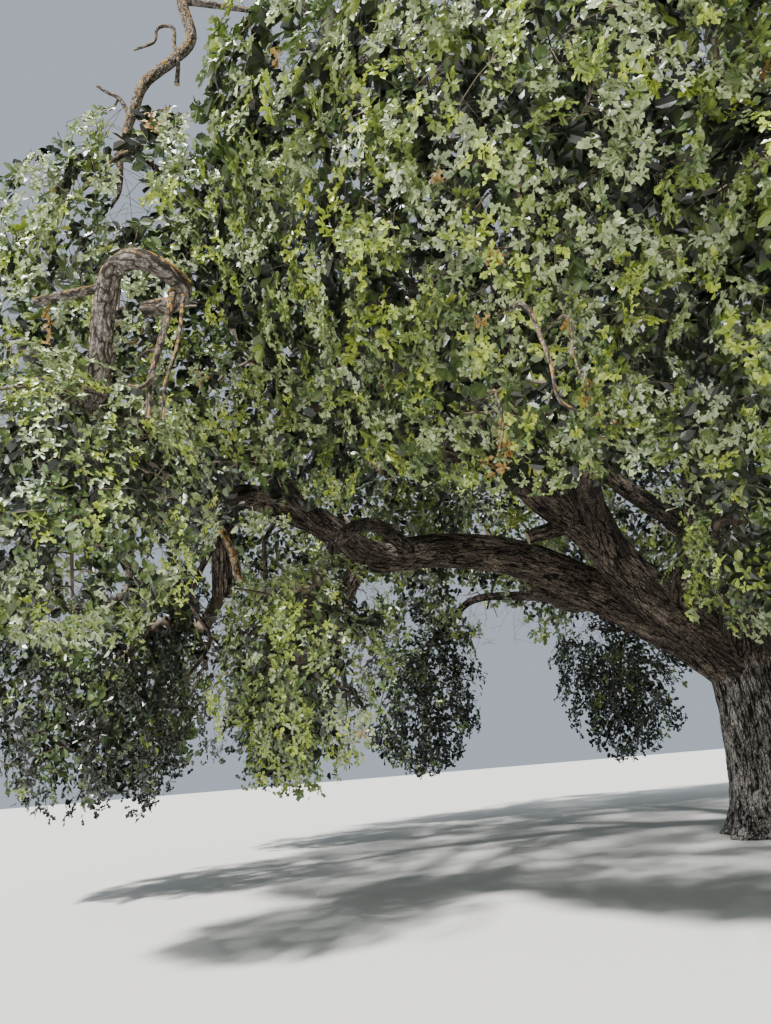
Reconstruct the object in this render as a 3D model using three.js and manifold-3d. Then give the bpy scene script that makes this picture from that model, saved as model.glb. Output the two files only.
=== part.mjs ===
// A spreading valley oak, whole: trunk, boughs, bare old limbs and weeping masses of foliage.
// Millimetres, +Z up. The origin is the centre of the flat cut under the trunk, at ground level.
// Headings are degrees round the trunk from +X towards +Y. Climbs are degrees above level.
import * as THREE from 'three';
import { mergeVertices } from 'three/addons/utils/BufferGeometryUtils.js';
import Module from 'manifold-3d';

const wasm = await Module();
wasm.setup();

// Driving dimensions
const M = 1000; // one metre
const GAP = 0.3; // clearance between pieces that meet
const SPACE_MARGIN = 0.04 * M; // half the air left between two neighbouring masses
const SLIVER = 0.1; // faces thinner than this are merged into their neighbours
const TRUNK = {
  radius: 0.75 * M,
  height: 3.9 * M,
  shoulderHeight: 3.0 * M,
  taper: 0.1,
  flare: 0.3 * M,
  flareHeight: 0.42 * M,
  buttresses: 5,
  buttressDepth: 0.45,
  lean: 0.05 * M,
  sides: 16,
};
const TRUNK_RINGS = [0, 0.04, 0.1, 0.2, 0.36, 0.56, 0.76, 0.88, 0.96, 1];

// Sizes that a ring of masses shares: distance out, height of the centre, half width, reach above and below.
// enter and stem are levels, as shares of the reach above or below: where the bough comes in, and where the
// stem ends.
const RINGS = {
  top: {
    out: 0.8, up: 14.1, wide: 4.7, above: 3.6, below: 2.4, enter: -0.2, stem: 0.3,
    climb: 76, base: 0.3, core: 0.5, droop: -0.9, twigs: 7, along: [], tufts: 9,
  },
  upper: {
    out: 5.9, up: 11.6, wide: 4.3, above: 3.4, below: 2.8, enter: -0.2, stem: 0.3,
    climb: 62, base: 0.24, core: 0.5, droop: 0.35, twigs: 6, along: [], tufts: 9,
  },
  shoulder: {
    out: 8.8, up: 7.8, wide: 4.0, above: 3.6, below: 3.3, enter: -0.2, stem: 0.3,
    climb: 42, base: 0.24, core: 0.5, droop: 0.6, twigs: 7, along: [], tufts: 8,
  },
  skirt: {
    out: 10.4, up: 4.3, wide: 2.2, above: 2.3, below: 3.0, enter: 0.55, stem: -0.35,
    climb: 30, base: 0.17, core: 0, droop: 0.9, twigs: 6, along: [0.35, 0.75], tufts: 0,
  },
};

// One row for each mass and the bough that carries it. A row's own sizes go before its ring's. Masses at
// the top, back and right have seeds of their own for their sprays, which then reach the ends of their space.
const CROWN = [
  { place: 'top', ring: 'top', heading: 80, on: 'trunk', at: 0.76, base: 0.46, spraySeed: 5101 },
  { place: 'shoulder_left', ring: 'shoulder', heading: 191, up: 8.8, below: 2.7,
    on: 'trunk', at: 0.7, base: 0.5,
    via: [[-1.75, -0.45, 4.35], [-2.6, -0.8, 5.4], [-3.5, -1.05, 6.15], [-4.3, -1.3, 7.0]],
    stub: { at: 0.5, heading: 178, climb: -14, length: 1.0, radius: 0.17 } },
  { place: 'skirt_left', ring: 'skirt', heading: 189, out: 11.3, up: 4.2, wide: 2.05, above: 1.3, below: 3.2,
    on: 'trunk', at: 0.7, base: 0.48, tip: 0.16,
    via: [[-2.35, 0.2, 4.45], [-3.9, 0.05, 5.25], [-5.5, -0.2, 5.47], [-6.7, -0.5, 5.36],
      [-7.7, -1.1, 5.95], [-9.1, -1.7, 6.3]],
    stub: { at: 0.63, heading: 185, climb: -60, length: 1.05, radius: 0.2 } },
  { place: 'shoulder_front', ring: 'shoulder', heading: 261, out: 7.9, up: 7.2, wide: 3.7, below: 4.2,
    on: 'trunk', at: 0.72, base: 0.42 },
  { place: 'shoulder_right', ring: 'shoulder', heading: 336, on: 'trunk', at: 0.7, base: 0.46 },
  { place: 'shoulder_back_right', ring: 'shoulder', heading: 20, on: 'trunk', at: 0.7, base: 0.42 },
  { place: 'shoulder_back_left', ring: 'shoulder', heading: 112, on: 'trunk', at: 0.7, base: 0.42,
    spraySeed: 5106 },
  { place: 'upper_left', ring: 'upper', heading: 205, on: 'shoulder_left', at: 0.5, base: 0.3 },
  { place: 'shoulder_front_left', ring: 'shoulder', heading: 237, out: 8.4, up: 7.6, wide: 3.6, above: 3.4,
    below: 3.4, on: 'shoulder_left', at: 0.38, base: 0.28 },
  { place: 'shoulder_corner', ring: 'shoulder', heading: 208, out: 9.9, up: 7.6, wide: 3.3, above: 3.0,
    below: 2.8, on: 'shoulder_left', at: 0.62, base: 0.24 },
  { place: 'shoulder_far_left', ring: 'shoulder', heading: 155, on: 'skirt_left', at: 0.3, base: 0.26 },
  { place: 'upper_front', ring: 'upper', heading: 262, on: 'top', at: 0.34 },
  { place: 'upper_right', ring: 'upper', heading: 325, on: 'top', at: 0.46 },
  { place: 'upper_back_right', ring: 'upper', heading: 25, on: 'top', at: 0.4 },
  { place: 'upper_back', ring: 'upper', heading: 85, on: 'top', at: 0.5 },
  { place: 'upper_back_left', ring: 'upper', heading: 145, on: 'top', at: 0.3 },
  { place: 'shoulder_front_right', ring: 'shoulder', heading: 298, on: 'shoulder_front', at: 0.4 },
  { place: 'shoulder_back', ring: 'shoulder', heading: 66, on: 'shoulder_back_right', at: 0.4,
    spraySeed: 5107 },
  { place: 'skirt_corner', ring: 'skirt', heading: 217, out: 11.8, up: 4.3, wide: 1.5, above: 1.55,
    below: 1.5, on: 'skirt_left', at: 0.72, base: 0.18, twigs: 5 },
  { place: 'tongue_front', ring: 'skirt', heading: 211, out: 8.9, up: 3.3, wide: 1.25, above: 1.1,
    below: 2.0, on: 'skirt_left', at: 0.55, base: 0.15, twigs: 5 },
  { place: 'skirt_far_left', ring: 'skirt', heading: 156, out: 10.7, on: 'shoulder_far_left', at: 0.45 },
  { place: 'skirt_back_left', ring: 'skirt', heading: 124, out: 10.5, on: 'shoulder_back_left', at: 0.5 },
  { place: 'skirt_back', ring: 'skirt', heading: 88, out: 8.9, up: 4.2, on: 'shoulder_back', at: 0.35,
    twigs: 5 },
  { place: 'skirt_back_right', ring: 'skirt', heading: 45, wide: 2.5, on: 'shoulder_back_right', at: 0.55 },
  { place: 'skirt_right', ring: 'skirt', heading: 5, wide: 2.5, on: 'shoulder_right', at: 0.4,
    spraySeed: 5106 },
  { place: 'skirt_front_right', ring: 'skirt', heading: 325, wide: 2.5, on: 'shoulder_right', at: 0.55 },
  { place: 'tongue_right', ring: 'skirt', heading: 285, out: 10.2, up: 4.4, wide: 2.0, below: 2.2,
    on: 'shoulder_front_right', at: 0.5, twigs: 5 },
  { place: 'apron_front', ring: 'skirt', heading: 250, out: 4.5, up: 4.2, wide: 1.5, above: 1.5, below: 1.5,
    on: 'shoulder_left', at: 0.2, base: 0.12, twigs: 5 },
];

// Bare old limbs that stand out of the foliage, each from another limb by the points of its bends, in metres
const BARE = [
  { name: 'bare_limb', on: 'upper_left', at: 0.6, base: 0.14, tip: 0.06, steps: 14,
    via: [[-4.3, -3.4, 10.6], [-5.6, -4.6, 12.1], [-6.9, -5.3, 13.3], [-7.9, -5.7, 13.9],
      [-8.6, -5.9, 13.6], [-8.85, -6.0, 12.9], [-8.7, -6.0, 12.0], [-8.9, -6.2, 11.3],
      [-9.2, -6.4, 10.65], [-9.3, -6.5, 10.0], [-9.45, -6.5, 9.2]] },
  { name: 'broken_limb', on: 'skirt_corner', at: 0.75, base: 0.15, tip: 0.08, steps: 12,
    via: [[-9.5, -5.6, 5.9], [-9.35, -6.8, 5.45], [-8.95, -7.75, 5.2],
      [-8.8, -8.05, 5.8], [-8.7, -8.16, 6.03], [-8.48, -8.2, 6.1], [-8.24, -8.08, 6.03],
      [-8.14, -7.88, 5.99], [-8.28, -7.7, 5.97], [-8.6, -7.65, 5.95]],
    stub: { at: 0.73, heading: 192, climb: -18, length: 0.65, radius: 0.05 } },
  { name: 'dead_limb', on: 'skirt_left', at: 0.875, base: 0.09, tip: 0.055, steps: 5,
    via: [[-9.2, -2.0, 5.9], [-9.25, -2.5, 5.6], [-8.95, -2.95, 5.2], [-8.8, -3.0, 4.8],
      [-8.7, -3.05, 4.4]] },
];

// A blade: its sizes, where it is widest, how far its tip sags, and the radius of the twig's end
const SPRAY = {
  length: 2.2 * M,
  width: 1.5 * M,
  thickness: 0.26 * M,
  widest: 0.4,
  sag: 0.12,
  neck: 0.035 * M,
  sizes: [1, 0.8, 0.62, 0.48],
};
// How a mass grows: where twigs root their sprays, the twigs' sizes, and the tries made
const GROWTH = {
  shell: [0.55, 0.85], // shares of the reach
  twigRadius: [0.022 * M, 0.07 * M], // at a twig's foot, from the least to the most
  taper: 0.5, // of a twig to the wood that it grows from
  foot: 0.8, // where in the core a twig starts, as a share of its size
  tuft: 0.85, // where in the core a spray is rooted
  joints: [0.2, 0.7], // stretch of a twig that others may grow from
  outward: 0.45,
  random: 0.75,
  candidates: 12, // places tried for each root
  ways: 6, // ways tried for each spray
  spare: 2, // roots placed for each twig that is kept
};
const STEM = { bend: 0.5 * M, lean: 0.35, base: 0.95, tip: 0.6 };

// Limbs: lengths in millimetres, the rest shares of a limb's own radius or length
const LIMB = {
  step: 1.4 * M,
  stout: 0.35 * M,
  taper: 0.85,
  collar: 0.3,
  collarLength: 1.3,
  tipShare: 0.36,
  thinTip: 0.085 * M,
  stubTaper: 0.8,
};
const BOUGH = { leave: 0.42, arrive: 0.22, bend: 1.4 * M, wander: 0.07, depth: 0.94 };
const CORE = { sides: 7, rings: 4, lump: 0.14, lumps: [5, 4, 3] };

// Colours
const BARK = { color: 0x6b5d50, roughness: 0.95, metalness: 0 };
const BARE_WOOD = { color: 0x8a8175, roughness: 0.9, metalness: 0 };
const LEAF = { color: 0x5f7345, roughness: 0.6, metalness: 0 };

// Park and Miller's generator: the same draws on any machine
function seeded(seed) {
  let state = seed;
  return () => {
    state = (state * 16807) % 2147483647;
    return state / 2147483647;
  };
}

const radians = THREE.MathUtils.degToRad;
const UP = new THREE.Vector3(0, 0, 1);
const vector = (x, y, z) => new THREE.Vector3(x, y, z);

function towards(heading, climb) {
  return vector(
    Math.cos(radians(heading)) * Math.cos(radians(climb)),
    Math.sin(radians(heading)) * Math.cos(radians(climb)),
    Math.sin(radians(climb)),
  );
}

// Solids
function solidFrom(geometry) {
  const bare = geometry.clone();
  bare.deleteAttribute('normal');
  bare.deleteAttribute('uv');
  const merged = mergeVertices(bare, 1e-3);
  const made = new wasm.Manifold(new wasm.Mesh({
    numProp: 3,
    vertProperties: merged.attributes.position.array,
    triVerts: new Uint32Array(merged.index.array),
  }));
  return made;
}

function geometryFrom(solid) {
  const mesh = solid.simplify(SLIVER).getMesh();
  const position = new Float32Array(mesh.numVert * 3);
  for (let i = 0; i < mesh.numVert; i++) {
    position.set(mesh.vertProperties.subarray(i * mesh.numProp, i * mesh.numProp + 3), i * 3);
  }
  const geometry = new THREE.BufferGeometry();
  geometry.setAttribute('position', new THREE.BufferAttribute(position, 3));
  geometry.setIndex(new THREE.BufferAttribute(new Uint32Array(mesh.triVerts), 1));
  geometry.computeVertexNormals();
  return geometry;
}

const largest = (solid) => solid.decompose().sort((a, b) => b.volume() - a.volume())[0];

// A closed cylinder bent along an axis: placeAt gives the point for a share of its length and an angle
function bentCylinder(sides, steps, placeAt) {
  const geometry = new THREE.CylinderGeometry(1, 1, 1, sides, steps);
  const position = geometry.attributes.position;
  for (let i = 0; i < position.count; i++) {
    const share = position.getY(i) + 0.5;
    const across = Math.min(1, Math.hypot(position.getX(i), position.getZ(i)));
    const angle = Math.atan2(position.getX(i), position.getZ(i));
    const point = placeAt(share, angle, across);
    position.setXYZ(i, point.x, point.y, point.z);
  }
  return geometry;
}

// Trunk
function trunkCentre(height) {
  return vector(TRUNK.lean * Math.sin(height / TRUNK.height * 2), 0, height);
}

function trunkRadius(height, angle) {
  const round = TRUNK.radius * (1 - TRUNK.taper * height / TRUNK.height);
  const spread = TRUNK.flare * Math.exp(-height / TRUNK.flareHeight);
  const lobes = 1 + TRUNK.buttressDepth * Math.cos(TRUNK.buttresses * angle + 1);
  const over = Math.max(0, (height - TRUNK.shoulderHeight) / (TRUNK.height - TRUNK.shoulderHeight));
  return (round + spread * lobes) * Math.sqrt(1 - 0.8 * over * over);
}

function trunkGeometry(grown) {
  return bentCylinder(TRUNK.sides, TRUNK_RINGS.length - 1, (share, angle, across) => {
    const ring = TRUNK_RINGS[Math.round(share * (TRUNK_RINGS.length - 1))];
    const height = ring * TRUNK.height;
    const reach = across * (trunkRadius(height, angle) + grown);
    const lift = ring === 1 ? grown : 0;
    const centre = trunkCentre(height);
    return vector(centre.x + reach * Math.cos(angle), centre.y + reach * Math.sin(angle), height + lift);
  });
}

// Limbs: an axis, a radius at each share of it, with a swollen collar at its foot, and the solid
function limbRadius(limb, share) {
  const taper = limb.tip + (limb.base - limb.tip) * Math.pow(1 - share, LIMB.taper);
  return taper + LIMB.collar * limb.base * Math.exp(-share * limb.length / (LIMB.collarLength * limb.base));
}

function limbSolid(limb, grown) {
  const frames = limb.curve.computeFrenetFrames(limb.steps);
  return solidFrom(bentCylinder(limb.sides, limb.steps, (share, angle, across) => {
    const ring = Math.round(share * limb.steps);
    const past = ring === limb.steps ? grown : ring ? 0 : -2 * grown;
    const reach = across * (limbRadius(limb, share) + grown);
    return limb.curve.getPointAt(share)
      .addScaledVector(limb.curve.getTangentAt(share), past)
      .addScaledVector(frames.normals[ring], reach * Math.cos(angle))
      .addScaledVector(frames.binormals[ring], reach * Math.sin(angle));
  }));
}

// A limb with the sawn stub that some have
function limbWithStub(limb, grown) {
  const whole = limbSolid(limb, grown);
  if (!limb.stub) return whole;
  const { at, heading, climb, length, radius } = limb.stub;
  const foot = limb.curve.getPointAt(at);
  const end = foot.clone().addScaledVector(towards(heading, climb), length * M);
  const sizes = { length: length * M, base: radius * M, tip: LIMB.stubTaper * radius * M };
  const stub = { curve: new THREE.LineCurve3(foot, end), ...sizes, steps: 1, sides: 6 };
  return whole.add(limbSolid(stub, grown));
}

// Masses: each keeps to its own space, an ellipsoid cut by the planes to its neighbours
const masses = CROWN.map((row, index) => {
  const sizes = { ...RINGS[row.ring], ...row };
  const centre = towards(sizes.heading, 0).multiplyScalar(sizes.out * M);
  centre.z = sizes.up * M;
  return { ...sizes, index, centre, seed: 101 + 37 * index };
});

// How far out of a mass's own ellipsoid a point lies: 1 is its surface
function reachOf(mass, point) {
  const dz = point.z - mass.centre.z;
  const tall = (dz > 0 ? mass.above : mass.below) * M;
  return Math.hypot(
    (point.x - mass.centre.x) / (mass.wide * M), (point.y - mass.centre.y) / (mass.wide * M), dz / tall);
}

// Distance from a point to the plane shared with a neighbour, positive on the mass's own side
function clearOf(mass, other, point) {
  const between = other.centre.clone().sub(mass.centre);
  const apart = between.length();
  const share = (mass.wide + mass.above) / (mass.wide + mass.above + other.wide + other.above);
  return apart * share - point.clone().sub(mass.centre).dot(between) / apart;
}

function insideSpace(mass, point, reach = 1) {
  return reachOf(mass, point) <= reach &&
    masses.every((other) => other === mass || clearOf(mass, other, point) > SPACE_MARGIN);
}

// A point over or under the centre, at a share of the reach above or below it
function atLevel(mass, share) {
  const point = mass.centre.clone();
  point.z += share * (share > 0 ? mass.above : mass.below) * M;
  return point;
}

// Where a bough from a start enters the mass: the first point of the straight way in that is the mass's own
function entryPoint(mass, start) {
  const aim = atLevel(mass, mass.enter);
  for (let share = 0; share < 1; share += 0.01) {
    const point = start.clone().lerp(aim, share);
    if (insideSpace(mass, point, BOUGH.depth)) return point;
  }
  return aim;
}

const limbs = new Map();
const placed = (points) => points.map((p) => vector(...p).multiplyScalar(M));

// The bends of a bough: the row's own, or a seeded wander along an arch from its start to its mass
function boughBends(mass, start) {
  const entry = entryPoint(mass, start);
  if (mass.via) return [start, ...placed(mass.via), entry];
  const draw = seeded(mass.seed + 5);
  const span = entry.distanceTo(start);
  const heading = THREE.MathUtils.radToDeg(Math.atan2(entry.y - start.y, entry.x - start.x));
  const leave = start.clone().addScaledVector(towards(heading, mass.climb), BOUGH.leave * span);
  const inward = mass.centre.clone().sub(entry).normalize();
  const arrive = entry.clone().addScaledVector(inward, -BOUGH.arrive * span);
  const arch = new THREE.CubicBezierCurve3(start, leave, arrive, entry);
  const bends = Math.max(2, Math.round(span / BOUGH.bend));
  const points = arch.getPoints(bends);
  for (let i = 1; i < bends; i++) {
    const aside = vector(draw() - 0.5, draw() - 0.5, draw() - 0.5);
    points[i].addScaledVector(aside, BOUGH.wander * span);
  }
  return points;
}

function addLimb(name, points, sizes) {
  const curve = new THREE.CatmullRomCurve3(points, false, 'centripetal');
  const length = curve.getLength();
  const base = sizes.base * M;
  const tip = sizes.tip ? sizes.tip * M : Math.max(LIMB.thinTip, LIMB.tipShare * base);
  const steps = sizes.steps ?? THREE.MathUtils.clamp(Math.round(length / LIMB.step), 3, 8);
  const sides = base > LIMB.stout ? 8 : 5;
  limbs.set(name, { name, curve, length, base, tip, steps, sides, stub: sizes.stub });
}

for (const mass of masses) {
  const start = mass.on === 'trunk'
    ? trunkCentre(TRUNK.height * mass.at)
    : limbs.get(mass.on).curve.getPointAt(mass.at);
  addLimb(mass.place, boughBends(mass, start), mass);
}
for (const limb of BARE) {
  const start = limbs.get(limb.on).curve.getPointAt(limb.at);
  addLimb(limb.name, [start, ...placed(limb.via)], limb);
}

// The far corners of a blade that is rooted at a point: its two edges, its two faces and its tip
function bladeCorners(root, along, across, size) {
  const widest = root.clone().addScaledVector(along, SPRAY.widest * SPRAY.length * size);
  const face = along.clone().cross(across).multiplyScalar(0.5 * SPRAY.thickness * size);
  const half = across.clone().multiplyScalar(0.5 * SPRAY.width * size);
  const tip = root.clone().addScaledVector(along, SPRAY.length * size);
  tip.z -= SPRAY.sag * SPRAY.length * size;
  const edges = [half, face, half.clone().negate(), face.clone().negate()];
  return [...edges.map((offset) => widest.clone().add(offset)), tip];
}

// Three corners round a point, square to a direction, the first on the side that across points to
function threeRound(centre, direction, across, radius) {
  const side = across.clone().addScaledVector(direction, -across.dot(direction)).normalize();
  const other = direction.clone().cross(side);
  return [0, 120, 240].map((turn) => centre.clone()
    .addScaledVector(side, radius * Math.cos(radians(turn)))
    .addScaledVector(other, radius * Math.sin(radians(turn))));
}

function indexed(corners, faces) {
  const geometry = new THREE.BufferGeometry().setFromPoints(corners);
  geometry.setIndex(faces);
  return solidFrom(geometry);
}

// A twig and the spray of leaves it ends in, as one closed solid: three-sided, and opening into a thin blade
function sprayOnTwig(from, root, thick, outline, across) {
  const way = root.clone().sub(from).normalize();
  const corners = [
    ...threeRound(from, way, across, thick),
    ...threeRound(root, way, across, SPRAY.neck),
    ...outline,
  ];
  return indexed(corners, [
    0, 2, 1,
    0, 1, 4, 0, 4, 3, 1, 2, 5, 1, 5, 4, 2, 0, 3, 2, 3, 5,
    3, 7, 6, 3, 4, 7, 4, 8, 7, 4, 5, 8, 5, 9, 8, 5, 3, 9, 3, 6, 9,
    6, 7, 10, 7, 8, 10, 8, 9, 10, 9, 6, 10,
  ]);
}

// A spray with no twig of its own, rooted in a twig or a core
function sprayRooted(root, outline) {
  return indexed([root, ...outline], [
    0, 2, 1, 0, 3, 2, 0, 4, 3, 0, 1, 4,
    1, 2, 5, 2, 3, 5, 3, 4, 5, 4, 1, 5,
  ]);
}

function directionOf(draw) {
  const z = 2 * draw() - 1;
  const turn = 2 * Math.PI * draw();
  const flat = Math.sqrt(1 - z * z);
  return vector(flat * Math.cos(turn), flat * Math.sin(turn), z);
}

function pointInShell(mass, shell, draw) {
  const direction = directionOf(draw);
  const share = shell[0] + (shell[1] - shell[0]) * draw();
  const tall = direction.z > 0 ? mass.above : mass.below;
  return vector(direction.x * mass.wide, direction.y * mass.wide, direction.z * tall)
    .multiplyScalar(M * share).add(mass.centre);
}

// Evenly spread roots for sprays: each is the furthest of some candidates from those already there
function sprayRoots(mass, count, shell, draw) {
  const roots = [];
  while (roots.length < count) {
    let best = null;
    let bestGap = -1;
    for (let i = 0; i < GROWTH.candidates; i++) {
      const point = pointInShell(mass, shell, draw);
      if (!insideSpace(mass, point)) continue;
      const gap = roots.reduce((least, other) => Math.min(least, other.distanceTo(point)), Infinity);
      if (gap > bestGap) [best, bestGap] = [point, gap];
    }
    if (best) roots.push(best);
  }
  return roots;
}

const limbSolids = new Map();
const limbCutters = new Map();
const trunkCutter = solidFrom(trunkGeometry(GAP));

function near(a, b) {
  const p = a.boundingBox();
  const q = b.boundingBox();
  return [0, 1, 2].every((i) => p.min[i] <= q.max[i] && q.min[i] <= p.max[i]);
}

function cutBy(solid, cutters) {
  return cutters.reduce((left, cutter) => near(left, cutter) ? left.subtract(cutter) : left, solid);
}

// Each limb ends at the trunk and at the limbs before it, a gap away
for (const limb of limbs.values()) {
  const whole = limbWithStub(limb, 0);
  limbSolids.set(limb.name, largest(cutBy(whole, [trunkCutter, ...limbCutters.values()])));
  limbCutters.set(limb.name, limbWithStub(limb, GAP));
}

// A lump inside a dense mass that the sprays stand out of, held back from the planes to its neighbours
function coreSolid(mass) {
  const geometry = new THREE.SphereGeometry(1, CORE.sides, CORE.rings);
  const position = geometry.attributes.position;
  const [across, along, upward] = CORE.lumps;
  for (let i = 0; i < position.count; i++) {
    const direction = vector(position.getX(i), position.getY(i), position.getZ(i));
    const ripple = Math.cos(along * direction.y + upward * direction.z);
    const wave = Math.sin(across * direction.x + mass.index) * ripple;
    const tall = direction.z > 0 ? mass.above : mass.below;
    const offset = vector(direction.x * mass.wide, direction.y * mass.wide, direction.z * tall)
      .multiplyScalar(M * mass.core * (1 + CORE.lump * wave));
    for (const other of masses) {
      if (other === mass) continue;
      const room = clearOf(mass, other, mass.centre) - 6 * SPACE_MARGIN;
      const depth = offset.dot(other.centre.clone().sub(mass.centre).normalize());
      if (depth > room) offset.multiplyScalar(room / depth);
    }
    position.setXYZ(i, mass.centre.x + offset.x, mass.centre.y + offset.y, mass.centre.z + offset.z);
  }
  return solidFrom(geometry);
}

// The wood that carries on from a bough's tip, a gap away, to the middle of its mass
function stemOf(mass) {
  const limb = limbs.get(mass.place);
  const along = limb.curve.getTangentAt(1);
  const start = limb.curve.getPointAt(1).addScaledVector(along, GAP);
  const bend = start.clone().addScaledVector(along, STEM.bend);
  const middle = mass.centre.clone().lerp(bend, STEM.lean);
  const points = [start, bend, middle, atLevel(mass, mass.stem)];
  const curve = new THREE.CatmullRomCurve3(points, false, 'centripetal');
  const base = STEM.base * limb.tip;
  return { curve, length: curve.getLength(), base, tip: STEM.tip * limb.tip, steps: 3, sides: 3 };
}

// A drawn way for a blade: outward, aside and down by its mass's droop, with its flat side facing out
function sprayAxes(mass, root, draw) {
  const outward = root.clone().sub(mass.centre).normalize();
  const along = outward.clone().multiplyScalar(GROWTH.outward)
    .addScaledVector(directionOf(draw), GROWTH.random)
    .addScaledVector(UP, -mass.droop)
    .normalize();
  const across = along.clone().cross(outward);
  if (across.length() < 0.03) across.copy(along).cross(vector(1, 0, 0));
  return { along, across: across.normalize() };
}

// The spray at a root: the largest blade, of some drawn ways, that keeps to the space and off what is there
function growSpray(mass, root, draw, solidOf, fouls) {
  const ways = Array.from({ length: GROWTH.ways }, () => sprayAxes(mass, root, draw));
  for (const size of SPRAY.sizes) {
    for (const { along, across } of ways) {
      const outline = bladeCorners(root, along, across, size);
      if (!outline.every((p) => insideSpace(mass, p))) continue;
      const solid = solidOf(outline, across);
      if (!fouls(solid)) return solid;
    }
  }
  return null;
}

// The nearest point of the wood that has grown so far, each piece of it a segment with a thickness
function nearestWood(wood, root) {
  const found = wood.map(({ segment, thick, solid }) => (
    { point: segment.closestPointToPoint(root, true, vector(0, 0, 0)), thick, solid }));
  return found.reduce((best, at) => (at.point.distanceTo(root) < best.point.distanceTo(root) ? at : best));
}

// The stem's stretches within its mass, as wood that twigs may grow from
function stemWood(stem, solid) {
  return Array.from({ length: stem.steps - 1 }, (_, i) => {
    const shares = [i + 1, i + 2].map((ring) => ring / stem.steps);
    const segment = new THREE.Line3(...shares.map((share) => stem.curve.getPointAt(share)));
    return { segment, thick: GROWTH.taper * limbRadius(stem, shares[0]), solid };
  });
}

function massSolid(mass) {
  const draw = seeded(mass.spraySeed ?? mass.seed);
  const stem = stemOf(mass);
  const stemSolid = limbSolid(stem, 0);
  const wood = stemWood(stem, stemSolid);
  const blocked = [trunkCutter, ...limbCutters.values()];
  const pieces = [stemSolid];
  const foulsBut = (parent) => (solid) => [...blocked, ...pieces].some((other) => (
    other !== parent && near(solid, other) && solid.minGap(other, 5) < 1));
  const keep = (spray) => {
    if (spray) pieces.push(spray);
    return spray;
  };

  const start = stem.curve.getPointAt(0);
  const roots = sprayRoots(mass, GROWTH.spare * mass.twigs, GROWTH.shell, draw);
  roots.sort((a, b) => a.distanceTo(start) - b.distanceTo(start));
  let twigs = 0;
  for (const root of roots) {
    if (twigs === mass.twigs) break;
    const parent = nearestWood(wood, root);
    const thick = THREE.MathUtils.clamp(parent.thick, ...GROWTH.twigRadius);
    const foot = GROWTH.foot * mass.core / reachOf(mass, root);
    const from = mass.core ? mass.centre.clone().lerp(root, foot) : parent.point;
    const onTwig = (outline, across) => sprayOnTwig(from, root, thick, outline, across);
    const twig = keep(growSpray(mass, root, draw, onTwig, foulsBut(parent.solid)));
    if (!twig) continue;
    twigs += 1;
    const segment = new THREE.Line3(...GROWTH.joints.map((share) => from.clone().lerp(root, share)));
    wood.push({ segment, thick: GROWTH.taper * 0.5 * (thick + SPRAY.neck), solid: twig });
    for (const share of mass.along) {
      const joint = from.clone().lerp(root, share);
      keep(growSpray(mass, joint, draw, (outline) => sprayRooted(joint, outline), foulsBut(twig)));
    }
  }

  if (mass.core) {
    const depth = GROWTH.tuft * mass.core;
    for (const root of sprayRoots(mass, mass.tufts, [depth, depth], draw)) {
      keep(growSpray(mass, root, draw, (outline) => sprayRooted(root, outline), foulsBut(stemSolid)));
    }
    pieces.push(largest(cutBy(coreSolid(mass), blocked)));
  }
  return largest(wasm.Manifold.union(pieces));
}

// The scene graph
const tree = new THREE.Group();

function addNode(name, geometry, look) {
  const mesh = new THREE.Mesh(geometry, new THREE.MeshStandardMaterial(look));
  mesh.name = name;
  tree.add(mesh);
}

addNode('trunk', trunkGeometry(0), BARK);
for (const [name, solid] of limbSolids) {
  const bare = BARE.some((limb) => limb.name === name);
  addNode(bare ? name : 'bough_' + name, geometryFrom(solid), bare ? BARE_WOOD : BARK);
}
for (const mass of masses) addNode('foliage_' + mass.place, geometryFrom(massSolid(mass)), LEAF);

export default tree;
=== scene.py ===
"""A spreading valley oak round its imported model: bark in relief, twigs, lobed leaves and acorns.

Metres, +Z up. The origin is the centre of the flat cut under the trunk, at ground level.
Headings are degrees round the trunk from +X towards +Y. Climbs are degrees above level.
Boughs and masses of foliage follow the rule of the part's own source, carried on to finer twigs.
"""

import itertools
import math

import bpy
import numpy as np
from mathutils import Matrix, Vector


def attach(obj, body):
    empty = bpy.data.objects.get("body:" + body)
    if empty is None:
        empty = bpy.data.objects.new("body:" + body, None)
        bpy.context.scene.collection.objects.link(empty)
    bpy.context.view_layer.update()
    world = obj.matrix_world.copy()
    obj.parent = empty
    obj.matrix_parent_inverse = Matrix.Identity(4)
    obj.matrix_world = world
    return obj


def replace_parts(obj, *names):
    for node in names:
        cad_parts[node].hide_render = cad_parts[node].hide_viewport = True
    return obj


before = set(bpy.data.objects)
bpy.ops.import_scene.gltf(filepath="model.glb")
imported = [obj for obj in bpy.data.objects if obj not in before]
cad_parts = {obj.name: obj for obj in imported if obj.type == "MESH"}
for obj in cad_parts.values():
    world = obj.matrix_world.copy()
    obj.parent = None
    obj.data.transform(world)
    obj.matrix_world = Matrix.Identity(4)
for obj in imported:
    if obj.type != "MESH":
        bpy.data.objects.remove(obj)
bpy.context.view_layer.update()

# The part's own driving dimensions, in metres
SPACE_MARGIN = 0.04
TRUNK = {
    "radius": 0.75, "height": 3.9, "shoulder_height": 3.0, "taper": 0.1, "flare": 0.3, "flare_height": 0.42,
    "buttresses": 5, "buttress_depth": 0.45, "first_buttress": 1, "lean": 0.05, "bow": 2, "rounding": 0.8,
}
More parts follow.
